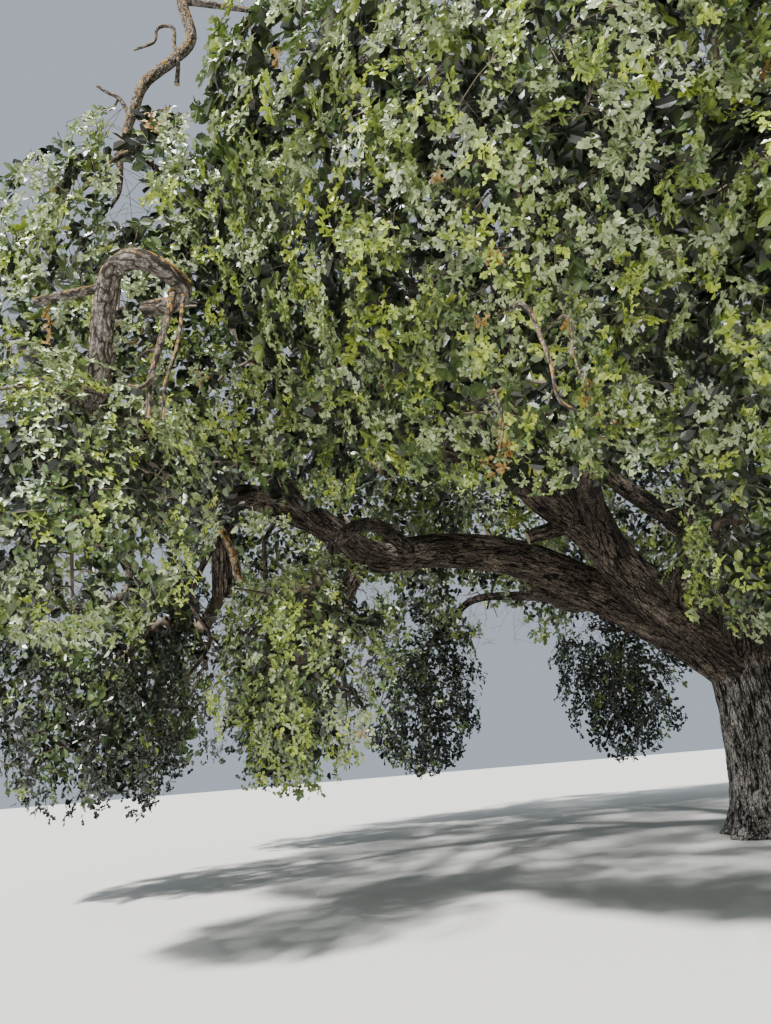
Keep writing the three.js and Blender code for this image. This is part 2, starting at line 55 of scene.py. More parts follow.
RINGS = {
    "top": {
        "out": 0.8, "up": 14.1, "wide": 4.7, "above": 3.6, "below": 2.4, "enter": -0.2, "stem": 0.3,
        "climb": 76, "base": 0.3, "core": 0.5, "droop": -0.9, "twigs": 7,
    },
    "upper": {
        "out": 5.9, "up": 11.6, "wide": 4.3, "above": 3.4, "below": 2.8, "enter": -0.2, "stem": 0.3,
        "climb": 62, "base": 0.24, "core": 0.5, "droop": 0.35, "twigs": 6,
    },
    "shoulder": {
        "out": 8.8, "up": 7.8, "wide": 4.0, "above": 3.6, "below": 3.3, "enter": -0.2, "stem": 0.3,
        "climb": 42, "base": 0.24, "core": 0.5, "droop": 0.6, "twigs": 7,
    },
    "skirt": {
        "out": 10.4, "up": 4.3, "wide": 2.2, "above": 2.3, "below": 3.0, "enter": 0.55, "stem": -0.35,
        "climb": 30, "base": 0.17, "core": 0, "droop": 0.9, "twigs": 6,
    },
}


def crown_row(place, ring, heading, on, at, **own):
    """A mass and the bough that carries it: its ring's sizes, and its own before them."""
    return {**RINGS[ring], "place": place, "ring": ring, "heading": heading, "on": on, "at": at, **own}


CROWN = [
    crown_row("top", "top", 80, "trunk", 0.76, base=0.46),
    crown_row(
        "shoulder_left", "shoulder", 191, "trunk", 0.7, up=8.8, below=2.7, base=0.5,
        via=[(-1.75, -0.45, 4.35), (-2.6, -0.8, 5.4), (-3.5, -1.05, 6.15), (-4.3, -1.3, 7.0)],
        stub={"at": 0.5, "heading": 178, "climb": -14, "length": 1.0, "radius": 0.17},
    ),
    crown_row(
        "skirt_left", "skirt", 189, "trunk", 0.7,
        out=11.3, up=4.2, wide=2.05, above=1.3, below=3.2, base=0.48, tip=0.16,
        via=[
            (-2.35, 0.2, 4.45), (-3.9, 0.05, 5.25), (-5.5, -0.2, 5.47),
            (-6.7, -0.5, 5.36), (-7.7, -1.1, 5.95), (-9.1, -1.7, 6.3),
        ],
        stub={"at": 0.63, "heading": 185, "climb": -60, "length": 1.05, "radius": 0.2},
    ),
    crown_row(
        "shoulder_front", "shoulder", 261, "trunk", 0.72,
        out=7.9, up=7.2, wide=3.7, below=4.2, base=0.42,
    ),
    crown_row("shoulder_right", "shoulder", 336, "trunk", 0.7, base=0.46),
    crown_row("shoulder_back_right", "shoulder", 20, "trunk", 0.7, base=0.42),
    crown_row("shoulder_back_left", "shoulder", 112, "trunk", 0.7, base=0.42),
    crown_row("upper_left", "upper", 205, "shoulder_left", 0.5, base=0.3),
    crown_row(
        "shoulder_front_left", "shoulder", 237, "shoulder_left", 0.38,
        out=8.4, up=7.6, wide=3.6, above=3.4, below=3.4, base=0.28,
    ),
    crown_row(
        "shoulder_corner", "shoulder", 208, "shoulder_left", 0.62,
        out=9.9, up=7.6, wide=3.3, above=3.0, below=2.8, base=0.24,
    ),
    crown_row("shoulder_far_left", "shoulder", 155, "skirt_left", 0.3, base=0.26),
    crown_row("upper_front", "upper", 262, "top", 0.34),
    crown_row("upper_right", "upper", 325, "top", 0.46),
    crown_row("upper_back_right", "upper", 25, "top", 0.4),
    crown_row("upper_back", "upper", 85, "top", 0.5),
    crown_row("upper_back_left", "upper", 145, "top", 0.3),
    crown_row("shoulder_front_right", "shoulder", 298, "shoulder_front", 0.4),
    crown_row("shoulder_back", "shoulder", 66, "shoulder_back_right", 0.4),
    crown_row(
        "skirt_corner", "skirt", 217, "skirt_left", 0.72,
        out=11.8, up=4.3, wide=1.5, above=1.55, below=1.5, base=0.18, twigs=5,
    ),
    crown_row(
        "tongue_front", "skirt", 211, "skirt_left", 0.55,
        out=8.9, up=3.3, wide=1.25, above=1.1, below=2.0, base=0.15, twigs=5,
    ),
    crown_row("skirt_far_left", "skirt", 156, "shoulder_far_left", 0.45, out=10.7),
    crown_row("skirt_back_left", "skirt", 124, "shoulder_back_left", 0.5, out=10.5),
    crown_row("skirt_back", "skirt", 88, "shoulder_back", 0.35, out=8.9, up=4.2, twigs=5),
    crown_row("skirt_back_right", "skirt", 45, "shoulder_back_right", 0.55, wide=2.5),
    crown_row("skirt_right", "skirt", 5, "shoulder_right", 0.4, wide=2.5),
    crown_row("skirt_front_right", "skirt", 325, "shoulder_right", 0.55, wide=2.5),
    crown_row(
        "tongue_right", "skirt", 285, "shoulder_front_right", 0.5,
        out=10.2, up=4.4, wide=2.0, below=2.2, twigs=5,
    ),
    crown_row(
        "apron_front", "skirt", 250, "shoulder_left", 0.2,
        out=4.5, up=4.2, wide=1.5, above=1.5, below=1.5, base=0.12, twigs=5,
    ),
]
BARE = [
    {
        "name": "bare_limb", "on": "upper_left", "at": 0.6, "base": 0.14, "tip": 0.06,
        "via": [
            (-4.3, -3.4, 10.6), (-5.6, -4.6, 12.1), (-6.9, -5.3, 13.3), (-7.9, -5.7, 13.9),
            (-8.6, -5.9, 13.6), (-8.85, -6.0, 12.9), (-8.7, -6.0, 12.0), (-8.9, -6.2, 11.3),
            (-9.2, -6.4, 10.65), (-9.3, -6.5, 10.0), (-9.45, -6.5, 9.2),
        ],
    },
    {
        "name": "broken_limb", "on": "skirt_corner", "at": 0.75, "base": 0.15, "tip": 0.08,
        "via": [
            (-9.5, -5.6, 5.9), (-9.35, -6.8, 5.45), (-8.95, -7.75, 5.2),
            (-8.8, -8.05, 5.8), (-8.7, -8.16, 6.03), (-8.48, -8.2, 6.1), (-8.24, -8.08, 6.03),
            (-8.14, -7.88, 5.99), (-8.28, -7.7, 5.97), (-8.6, -7.65, 5.95),
        ],
        "stub": {"at": 0.73, "heading": 192, "climb": -18, "length": 0.65, "radius": 0.05},
    },
    {
        "name": "dead_limb", "on": "skirt_left", "at": 0.875, "base": 0.09, "tip": 0.055,
        "via": [
            (-9.2, -2.0, 5.9), (-9.25, -2.5, 5.6), (-8.95, -2.95, 5.2), (-8.8, -3.0, 4.8), (-8.7, -3.05, 4.4),
        ],
    },
]
# Thin limbs and dead twigs that the solids leave out: radius at the foot and at the tip, then the bends
THIN_LIMBS = [
    (0.075, 0.045, [
        (-10.2, -2.5, 6.2), (-10.37, -3, 5.98), (-10.41, -3, 4.9),
        (-10.46, -3, 4.35), (-11.0, -3, 4.24), (-11.6, -3, 4.18),
    ]),
    (0.06, 0.03, [
        (-9.1, -2.2, 5.6), (-9.31, -3, 4.64), (-9.46, -3, 4.19), (-9.15, -3, 3.55), (-9.51, -3, 3.0),
    ]),
    (0.05, 0.03, [(-8.3, -1.4, 6.1), (-8.5, -2.0, 5.3), (-8.45, -2.2, 4.6), (-8.6, -2.3, 4.0)]),
]
DEAD_TWIGS = [
    (0.036, 0.022, [
        (-8.2, -8.0, 5.85), (-8.1, -8.4, 5.31), (-8.17, -8.4, 4.97), (-8.23, -8.4, 4.66), (-8.23, -8.4, 4.35),
    ]),
    (0.02, 0.012, [(-8.17, -8.4, 4.97), (-8.27, -8.42, 4.94), (-8.34, -8.4, 4.89)]),
    (0.022, 0.014, [(-8.1, -8.0, 5.8), (-7.99, -8.5, 4.87), (-8.07, -8.5, 4.57), (-8.08, -8.5, 4.27)]),
    (0.018, 0.011, [(-8.2, -8.4, 4.73), (-8.28, -8.45, 4.59), (-8.44, -8.45, 4.66)]),
    (0.022, 0.014, [
        (-5.35, -8.6, 4.9), (-5.31, -9.3, 4.44), (-5.26, -9.3, 4.22),
        (-5.22, -9.3, 3.98), (-5.21, -9.3, 3.71), (-5.11, -9.3, 3.62),
    ]),
    (0.013, 0.008, [(-5.05, -8.6, 4.7), (-5.04, -9.3, 4.33), (-5.06, -9.3, 4.08), (-5.04, -9.3, 3.86)]),
    (0.016, 0.01, [(-5.5, -8.4, 4.3), (-5.55, -9.0, 3.95), (-5.54, -9.0, 3.72), (-5.59, -9.0, 3.53)]),
    (0.035, 0.02, [
        (-8.86, -6.1, 10.95), (-8.82, -6.2, 11.26), (-8.88, -6.2, 11.6), (-8.92, -6.2, 11.99),
        (-9.13, -6.2, 12.0), (-9.18, -6.2, 11.71), (-9.47, -6.2, 11.58),
    ]),
    (0.04, 0.02, [
        (-9.3, -6.45, 10.0), (-9.39, -6.4, 10.1), (-9.55, -6.4, 10.4),
        (-9.73, -6.4, 10.54), (-9.86, -6.4, 10.66),
    ]),
    (0.02, 0.012, [(-9.55, -6.4, 10.4), (-9.62, -6.4, 10.23), (-9.75, -6.4, 10.17)]),
    (0.05, 0.02, [(-9.45, -6.5, 9.25), (-9.42, -6.5, 8.98), (-9.43, -6.5, 8.6), (-9.54, -6.5, 8.38)]),
    (0.035, 0.02, [
        (-8.9, -6.5, 8.95), (-8.99, -6.9, 8.73), (-9.04, -7.2, 8.51), (-9.35, -7.4, 7.9), (-9.65, -7.6, 7.2),
    ]),
    (0.06, 0.035, [(-8.85, -6.0, 12.85), (-8.27, -6.0, 12.65), (-7.63, -6.0, 12.44)]),
    (0.012, 0.008, [(-10.51, -2.6, 5.02), (-10.43, -2.6, 4.2), (-10.42, -2.6, 3.42), (-10.36, -2.6, 2.89)]),
]
GROWTH = {
    "shell": (0.55, 0.85), "twig_radius": (0.022, 0.07), "taper": 0.5, "joints": (0.2, 0.7),
    "outward": 0.45, "random": 0.75, "candidates": 12, "spare": 2,
}
SEEDS = {
    "first": 101, "step": 37, "bends": 5, "trunk": 11, "boughs": 40, "bough_step": 13, "stub": 50,
    "thin": 900, "leaves": 7, "sticks": 21,
}
STEM = {"bend": 0.5, "lean": 0.35, "base": 0.95, "tip": 0.6, "stretches": 4}
LIMB = {
    "taper": 0.85, "collar": 0.3, "collar_length": 1.3, "tip_share": 0.36, "thin_tip": 0.085,
    "stub_taper": 0.8,
}
BOUGH = {"leave": 0.42, "arrive": 0.22, "bend": 1.4, "wander": 0.07, "depth": 0.94, "step": 0.01}

# The camera: where it stands, how it is turned, and its lens, all worked out from the reference view.
# Its margin is the width, in metres, of what it still takes for seen past the picture's edge.
CAMERA = {
    "place": np.array([-6.4, -13.4, 1.55]), "pitch": 20, "roll": 4.8, "focal_pixels": 705, "long_side": 1024,
    "middle": np.array([385.5, 512]), "margin": 0.9, "sensor": 36, "reach": 500,
}

# Openings in the foliage: their radius in pixels of the view, how deep they reach in metres, and their places
# across and down. Some are open right through, the others free a limb from what hangs before it.
OPEN = 99
OPENINGS = {
    "at the left": (15, OPEN, [(72, 560), (70, 585), (110, 565), (112, 588), (160, 548), (150, 615)]),
    "beside the tongue": (13, OPEN, [(213, 560), (216, 585), (213, 612), (213, 640), (214, 668), (216, 696)]),
    "round the tongue": (17, OPEN, [(222, 725), (236, 752), (375, 585), (405, 588), (360, 660), (375, 700)]),
    "under the fork": (24, OPEN, [(482, 598), (505, 620), (500, 655), (515, 690), (490, 690), (520, 655)]),
    "along the bough": (11, OPEN, [(530, 615), (555, 618), (580, 624), (605, 634), (440, 585), (465, 580)]),
    "dead limb": (16, 10.4, [(198, 530), (222, 540), (236, 560), (240, 580)]),
    "left thin limb": (13, 11.4, [(133, 520), (130, 548), (128, 575), (115, 598), (90, 604), (60, 610)]),
    "right thin limb": (13, 11.4, [(200, 575), (192, 600), (206, 630), (198, 655), (186, 680)]),
    "lower bough": (19, 12.2, [(205, 472), (230, 480), (255, 488), (280, 500), (305, 515), (325, 530)]),
    "bare limb": (17, 9.6, [(168, 70), (150, 85), (136, 108), (124, 130), (118, 152), (118, 175)]),
    "bare limb's foot": (13, 9.0, [(140, 195), (118, 215), (95, 235), (72, 252)]),
    "broken limb": (14, 6.4, [
        (108, 305), (116, 285), (135, 270), (160, 272), (180, 285), (150, 305), (85, 295), (60, 305),
    ]),
    "twigs under it": (10, 6.1, [
        (165, 330), (158, 350), (152, 378), (148, 405), (176, 352), (167, 385), (163, 410),
    ]),
    "middle twigs": (9, 5.3, [
        (528, 312), (540, 335), (551, 365), (560, 395), (572, 325), (575, 350), (580, 375),
    ]),
}

# What the scene adds to the rule: finer twigs, sprays of leaves and their sizes
FINE = {
    "shell": (0.6, 1.0), "hanging_shell": (0.12, 1.0), "inner_shell": (0.28, 0.55), "tries": 28000,
    "inner_tries": 600, "spacing": 0.625, "inner_spacing": 0.95, "twig_radius": (0.004, 0.03), "taper": 0.6,
    "thinning": 0.6, "backward": 1.6, "bow": 0.12, "lift": np.array([0, 0, 0.5]), "ways": 4,
}
# Bays in a mass's outline: how deep, as a share of its reach, and their waves per metre
BAYS = {"hanging": 0.42, "upright": 0.1, "waves": np.array([1.0, 1.0, 0.35])}
SPRAY = {
    "length": 0.95, "hanging_length": 1.25, "sag": np.array([0, 0, -0.16]), "sizes": (1.0, 0.85, 0.7, 0.5),
    "near": (6.0, 0.38), "far": (20.0, 0.78), "behind": 1.08, "hidden": 1.45, "inner": 1.15,
    "test": 0.4, "overlap": -0.25, "least_turn": 0.03, "main_shoot": 1.3, "side_shoot": 0.8,
}
# Masses that hang in shade and close up: how far apart their sprays stand, as a share of the others' spacing
CLOSER = {"skirt_left": 0.86, "skirt_far_left": 0.84, "skirt_back": 0.84, "skirt_back_left": 0.84}
LEAF = {
    "length": 0.2, "vary": 0.2, "tilt": 0.45, "turn": 0.25,
    "light": np.array([0, 0, 0.35]), "weight": np.array([0, 0, 0.12]),
    "plain_from": 0.95, "plain_share": 0.5, "largest": 0.165, "growth": 1.6, "reach": 1.02, "pale": 0.8,
}
# The grid on which sprays' sizes are planned, and how much foliage before them the camera still sees through
COVER = {
    "low": np.array([-14, -13, 0]), "cell": 0.5, "cells": (55, 50, 36), "step": 0.25, "ahead": 4.5,
    "free": 0.75, "fade": 1.5, "lace": 0.4, "crevice": 0.9,
}
ACORN = {"odds": 0.12, "length": 0.03, "vary": (0.8, 1.1), "growth": 1.3, "lean": 0.5, "sides": 5}


def towards(heading, climb):
    h, c = math.radians(heading), math.radians(climb)
    return np.array([math.cos(h) * math.cos(c), math.sin(h) * math.cos(c), math.sin(c)])


def unit(vectors):
    """Each vector at length one."""
    lengths = np.linalg.norm(vectors, axis=-1, keepdims=True)
    return vectors / np.maximum(lengths, 1e-9)


class Draws:
    """Random numbers by the rule of the part's source: the same draws on any machine."""

    multiplier, modulus = 16807, 2147483647

    def __init__(self, seed):
        self.state = seed

    def one(self):
        self.state = self.state * self.multiplier % self.modulus
        return self.state / self.modulus

    def __call__(self, *shape):
        """Draws in an array of a shape. Without a shape, one is skipped and the next is given."""
        values = np.array([self.one() for _ in range(math.prod(shape))])
        return values.reshape(shape) if shape else self.one()


# Large odd numbers that mix a cell's place and its seed into a value
CELL_MIX = np.array([73856093, 19349663, 83492791])
SEED_MIX = 2654435761
MIXERS = ((13, 1274126177), (16, 2246822519))
WORD = 0xFFFFFFFF
HALF_WORD = 0x7FFFFFFF


def noise(points, seed):
    """Smooth noise from -1 to 1: values drawn at the corners of unit cubes, and blended between them."""
    base = np.floor(points).astype(np.int64)
    part = points - base
    part = part * part * (3 - 2 * part)
    total = np.zeros(len(points))
    for corner in itertools.product((0, 1), repeat=3):
        cell = (base + np.array(corner)) * CELL_MIX
        mixed = cell[:, 0] ^ cell[:, 1] ^ cell[:, 2] ^ seed * SEED_MIX
        for shift, factor in MIXERS:
            mixed = (mixed ^ (mixed >> shift)) * factor & WORD
        total += np.prod(np.where(corner, part, 1 - part), axis=1) * (mixed / HALF_WORD - 1)
    return total


class Path:
    """A smooth curve through points, with places on it given as shares of its length."""

    def __init__(self, points, divisions=200):
        self.points = np.asarray(points, float)
        self.shares = np.linspace(0, 1, divisions + 1)
        steps = np.linalg.norm(np.diff(self.at_parameter(self.shares), axis=0), axis=1)
        self.lengths = np.concatenate([[0], np.cumsum(steps)])
        self.length = self.lengths[-1]

    def at_parameter(self, t):
        points = self.points
        ends = 2 * points[0] - points[1], 2 * points[-1] - points[-2]
        padded = np.vstack([ends[0], points, ends[1]])
        place = np.asarray(t) * (len(points) - 1)
        first = np.minimum(np.floor(place).astype(int), len(points) - 2)
        w = (place - first)[:, None]
        a, b, c, d = (padded[first + k] for k in range(4))
        steps = (b - a, c - b, d - c)
        before, between, after = (np.sqrt(np.linalg.norm(step, axis=1))[:, None] for step in steps)
        leave = ((b - a) / before - (c - a) / (before + between) + (c - b) / between) * between
        arrive = ((c - b) / between - (d - b) / (between + after) + (d - c) / after) * between
        return (
            b + leave * w + (3 * (c - b) - 2 * leave - arrive) * w**2 + (2 * (b - c) + leave + arrive) * w**3
        )

    def at(self, shares):
        return self.at_parameter(np.interp(np.asarray(shares) * self.length, self.lengths, self.shares))

    def one(self, share):
        return self.at([share])[0]

    def ways(self, shares):
        """Directions along the curve."""
        step = 1e-3
        low, high = np.clip(np.asarray(shares) - step, 0, 1), np.clip(np.asarray(shares) + step, 0, 1)
        return unit(self.at(high) - self.at(low))


# Limbs, as in the part's source
def trunk_centre(height):
    return np.array([TRUNK["lean"] * math.sin(height / TRUNK["height"] * TRUNK["bow"]), 0, height])


def trunk_radius(height, angle):
    plain = TRUNK["radius"] * (1 - TRUNK["taper"] * height / TRUNK["height"])
    spread = TRUNK["flare"] * np.exp(-height / TRUNK["flare_height"])
    lobes = 1 + TRUNK["buttress_depth"] * np.cos(TRUNK["buttresses"] * angle + TRUNK["first_buttress"])
    over = np.maximum(0, (height - TRUNK["shoulder_height"]) / (TRUNK["height"] - TRUNK["shoulder_height"]))
    return (plain + spread * lobes) * np.sqrt(1 - TRUNK["rounding"] * over * over)


class Limb:
    """A tapering limb along a path, with a swollen collar at its foot."""

    def __init__(self, points, base, tip=None, stub=None):
        self.path = Path(points)
        self.base = base
        self.tip = tip or max(LIMB["thin_tip"], LIMB["tip_share"] * base)
        self.stub = stub

    def radius(self, share):
        taper = self.tip + (self.base - self.tip) * (1 - share) ** LIMB["taper"]
        reach = LIMB["collar_length"] * self.base
        return taper + LIMB["collar"] * self.base * np.exp(-share * self.path.length / reach)


masses = []
for index, row in enumerate(CROWN):
    centre = towards(row["heading"], 0) * row["out"] + np.array([0, 0, row["up"]])
    masses.append({**row, "centre": centre, "seed": SEEDS["first"] + SEEDS["step"] * index})


def hanging(mass):
    return mass["ring"] == "skirt"


def reach_of(mass, points):
    """How far out of a mass's own ellipsoid points lie: 1 is its surface."""
    offset = points - mass["centre"]
    x, y, z = np.moveaxis(offset, -1, 0)
    tall = np.where(z > 0, mass["above"], mass["below"])
    return np.sqrt((x**2 + y**2) / mass["wide"] ** 2 + (z / tall) ** 2)


def room_in(mass, points):
    """Distance from points to the nearest plane shared with a neighbour, positive on the mass's own side."""
    least = np.full(points.shape[:-1], np.inf)
    for other in masses:
        if other is mass:
            continue
        between = other["centre"] - mass["centre"]
        apart = np.linalg.norm(between)
        own, theirs = mass["wide"] + mass["above"], other["wide"] + other["above"]
        clear = apart * own / (own + theirs) - (points - mass["centre"]) @ between / apart
        least = np.minimum(least, clear)
    return least


def inside_space(mass, points, reach=1.0, margin=SPACE_MARGIN):
    return (reach_of(mass, points) <= reach) & (room_in(mass, points) > margin)


def at_level(mass, share):
    """A point over or under the centre, at a share of the reach above or below it."""
    return mass["centre"] + np.array([0, 0, share * (mass["above"] if share > 0 else mass["below"])])


def entry_point(mass, start):
    aim = at_level(mass, mass["enter"])
    way_in = start + (aim - start) * np.arange(0, 1, BOUGH["step"])[:, None]
    own = inside_space(mass, way_in, BOUGH["depth"])
    return way_in[np.argmax(own)] if own.any() else aim


def bough_bends(mass, start):
    """The bends of a bough: the row's own, or a seeded wander along an arch from its start to its mass."""
    entry = entry_point(mass, start)
    if "via" in mass:
        return [start, *mass["via"], entry]
    draw = Draws(mass["seed"] + SEEDS["bends"])
    span = np.linalg.norm(entry - start)
    heading = math.degrees(math.atan2(entry[1] - start[1], entry[0] - start[0]))
    leave = start + towards(heading, mass["climb"]) * BOUGH["leave"] * span
    arrive = entry - unit(mass["centre"] - entry) * BOUGH["arrive"] * span
    bends = max(2, math.floor(span / BOUGH["bend"] + 0.5))
    points = []
    for t in np.linspace(0, 1, bends + 1):
        weights = (1 - t) ** 3, 3 * t * (1 - t) ** 2, 3 * t * t * (1 - t), t**3
        points.append(sum(w * p for w, p in zip(weights, (start, leave, arrive, entry))))
    for i in range(1, bends):
        points[i] = points[i] + (draw(3) - 0.5) * BOUGH["wander"] * span
    return points


limbs = {}
for mass in masses:
    if mass["on"] == "trunk":
        start = trunk_centre(TRUNK["height"] * mass["at"])
    else:
        start = limbs[mass["on"]].path.one(mass["at"])
    limbs[mass["place"]] = Limb(bough_bends(mass, start), mass["base"], mass.get("tip"), mass.get("stub"))
for row in BARE:
    start = limbs[row["on"]].path.one(row["at"])
    limbs[row["name"]] = Limb([start, *row["via"]], row["base"], row["tip"], row.get("stub"))


# Meshes, all of triangles
def stood(name, data):
    """An object in the scene."""
    made = bpy.data.objects.new(name, data)
    bpy.context.scene.collection.objects.link(made)
    return made


class Skin:
    """Triangles gathered for one piece, with values at their corners for its material."""

    def __init__(self, *fields):
        self.points, self.faces, self.count = [], [], 0
        self.fields = {field: [] for field in fields}

    def add(self, points, faces, **values):
        self.points.append(points)
        self.faces.append(np.asarray(faces) + self.count)
        for field, rows in self.fields.items():
            rows.append(np.broadcast_to(values[field], (len(points), *np.shape(values[field])[1:])))
        self.count += len(points)

    def piece(self, name, material, smooth):
        points = np.concatenate(self.points).astype(np.float32)
        faces = np.concatenate(self.faces).astype(np.int32)
        mesh = bpy.data.meshes.new(name)
        mesh.vertices.add(len(points))
        mesh.vertices.foreach_set("co", points.ravel())
        mesh.loops.add(faces.size)
        mesh.loops.foreach_set("vertex_index", faces.ravel())
        mesh.polygons.add(len(faces))
        mesh.polygons.foreach_set("loop_start", np.arange(0, faces.size, 3, dtype=np.int32))
        mesh.polygons.foreach_set("use_smooth", np.full(len(faces), smooth))
        for field, rows in self.fields.items():
            values = np.concatenate(rows).astype(np.float32)
            if values.ndim == 2:
                mesh.attributes.new(field, "FLOAT_VECTOR", "POINT").data.foreach_set("vector", values.ravel())
            else:
                mesh.attributes.new(field, "FLOAT", "POINT").data.foreach_set("value", values)
        mesh.update(calc_edges=True)
        mesh.materials.append(material)
        piece = stood(name, mesh)
        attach(piece, "root")
        return piece


def tube_faces(rings, sides):
    """Triangles over rings of points, each with the same number of sides."""
    ring, side = np.meshgrid(np.arange(rings - 1), np.arange(sides), indexing="ij")
    a = (ring * sides + side).ravel()
    b = (ring * sides + (side + 1) % sides).ravel()
    return np.concatenate([np.stack([a, b, b + sides], 1), np.stack([a, b + sides, a + sides], 1)])


def cap_faces(sides, flip):
    """A fan of triangles from a rim's points to the hub that comes after them."""
    a = np.arange(sides)
    b, hub = (a + 1) % sides, np.full(sides, sides)
    return np.stack([hub, b, a] if flip else [hub, a, b], 1)


# A way counts as upright where its vertical part is more than this
STEEP = 0.9


def carried_frames(ways):
    """Two directions square to a path at each of its rings, carried along it without a twist."""
    sides = []
    side = unit(np.cross(ways[0], (0, 0, 1) if abs(ways[0][2]) < STEEP else (1, 0, 0)))
    for way in ways:
        side = unit(side - way * (side @ way))
        sides.append(side)
    sides = np.array(sides)
    return sides, np.cross(ways, sides)


# Relief of the bark: plates' length in widths, how far their lines wander, the width of a line, and so on
BARK = {
    "long": 8.0, "wander_scale": 0.6, "wander_step": 7, "warp": 0.5, "line": 0.2,
    "finer": 2.1, "finer_share": 0.45, "finer_shift": 11,
    "swell": 0.03, "swell_scale": np.array([1.3, 1.3, 0.9]), "upward": (1.8, 0.6),
}
BARK_SEEDS = {"coarse": 3, "fine": 4, "swell": 9}
BARK_FIELDS = ("furrow", "place", "upward", "cut", "rings")
TUBE = {"long_faces": 4.0, "least_rings": 8, "least_sides": 7}
NOWHERE = np.zeros((1, 3))


def bark_relief(place, plate, seed):
    """Depth of the furrows, from 0 on a ridge to 1 in a furrow, at points of the bark laid out straight."""
    stretched = place / np.array([plate, plate, plate * BARK["long"]])
    shifted = (stretched * BARK["wander_scale"] + BARK["wander_step"] * k for k in range(3))
    bent = stretched + BARK["warp"] * np.stack([noise(at, seed + k) for k, at in enumerate(shifted)], 1)
    finer = bent * BARK["finer"] + BARK["finer_shift"]
    coarse = np.exp(-((noise(bent, seed + BARK_SEEDS["coarse"]) / BARK["line"]) ** 2))
    fine = np.exp(-((noise(finer, seed + BARK_SEEDS["fine"]) / BARK["line"]) ** 2))
    return np.clip(coarse + BARK["finer_share"] * fine, 0, 1)


def add_bark(skin, centres, sides_a, sides_b, radii, along, plate, depth, seed):
    """A bark tube: rings round centres, their radii cut by furrows, and its two ends closed by flat cuts."""
    rings, sides = radii.shape
    angle = np.linspace(0, 2 * np.pi, sides, endpoint=False)
    around = radii.mean(1)[:, None]
    length = np.broadcast_to(along[:, None], radii.shape)
    flat = np.stack([around * np.cos(angle), around * np.sin(angle), length], -1).reshape(-1, 3)
    furrow = bark_relief(flat, plate, seed)
    swell = noise(flat * BARK["swell_scale"], seed + BARK_SEEDS["swell"]).reshape(radii.shape)
    reach = radii * (1 + BARK["swell"] * swell) - depth * furrow.reshape(radii.shape)
    turned = np.cos(angle)[:, None] * sides_a[:, None] + np.sin(angle)[:, None] * sides_b[:, None]
    points = centres[:, None] + reach[..., None] * turned
    gain, level = BARK["upward"]
    upward = np.clip(gain * turned[..., 2] + level, 0, 1).ravel()
    faces = tube_faces(rings, sides)
    skin.add(points.reshape(-1, 3), faces, furrow=furrow, place=flat, upward=upward, cut=0.0, rings=NOWHERE)
    for end in (0, -1):
        rim = np.concatenate([points[end], centres[end][None]])
        spread = np.concatenate([np.repeat(around[end], sides), [0.0]])
        rings_at = np.stack([spread, 0 * spread, 0 * spread], 1)
        faces = cap_faces(sides, end == 0)
        skin.add(rim, faces, furrow=0.0, place=NOWHERE, upward=0.0, cut=1.0, rings=rings_at)


def add_limb(skin, limb, mesh_size, plate, depth, seed):
    length = limb.path.length
    rings = max(TUBE["least_rings"], round(length / (TUBE["long_faces"] * mesh_size)))
    sides = max(TUBE["least_sides"], round(math.pi * (limb.base + limb.tip) / mesh_size))
    shares = np.linspace(0, 1, rings + 1)
    side_a, side_b = carried_frames(limb.path.ways(shares))
    radii = np.repeat(limb.radius(shares)[:, None], sides, axis=1)
    add_bark(skin, limb.path.at(shares), side_a, side_b, radii, shares * length, plate, depth, seed)
    if limb.stub:
        foot = limb.path.one(limb.stub["at"])
        end = foot + towards(limb.stub["heading"], limb.stub["climb"]) * limb.stub["length"]
        radius = limb.stub["radius"]
        stub = Limb([foot, (foot + end) / 2, end], radius, LIMB["stub_taper"] * radius)
        add_limb(skin, stub, mesh_size, plate, depth, seed + SEEDS["stub"])


# Shader nodes, written as sums
class Wire:
    """What comes out of a shader node. Sums of wires and numbers add Math nodes."""

    def __init__(self, sheet, socket):
        self.sheet, self.socket = sheet, socket

    def math(self, operation, *values, **settings):
        settings["operation"] = operation
        return self.sheet.node("ShaderNodeMath", settings, dict(enumerate(values)))

    def __add__(self, other):
        return self.math("ADD", self, other)

    def __radd__(self, other):
        return self.math("ADD", other, self)

    def __sub__(self, other):
        return self.math("SUBTRACT", self, other)

    def __rsub__(self, other):
        return self.math("SUBTRACT", other, self)

    def __mul__(self, other):
        return self.math("MULTIPLY", self, other)

    def __rmul__(self, other):
        return self.math("MULTIPLY", other, self)

    def __pow__(self, other):
        return self.math("POWER", self, other)

    def clipped(self):
        return self.math("ADD", self, 0.0, use_clamp=True)


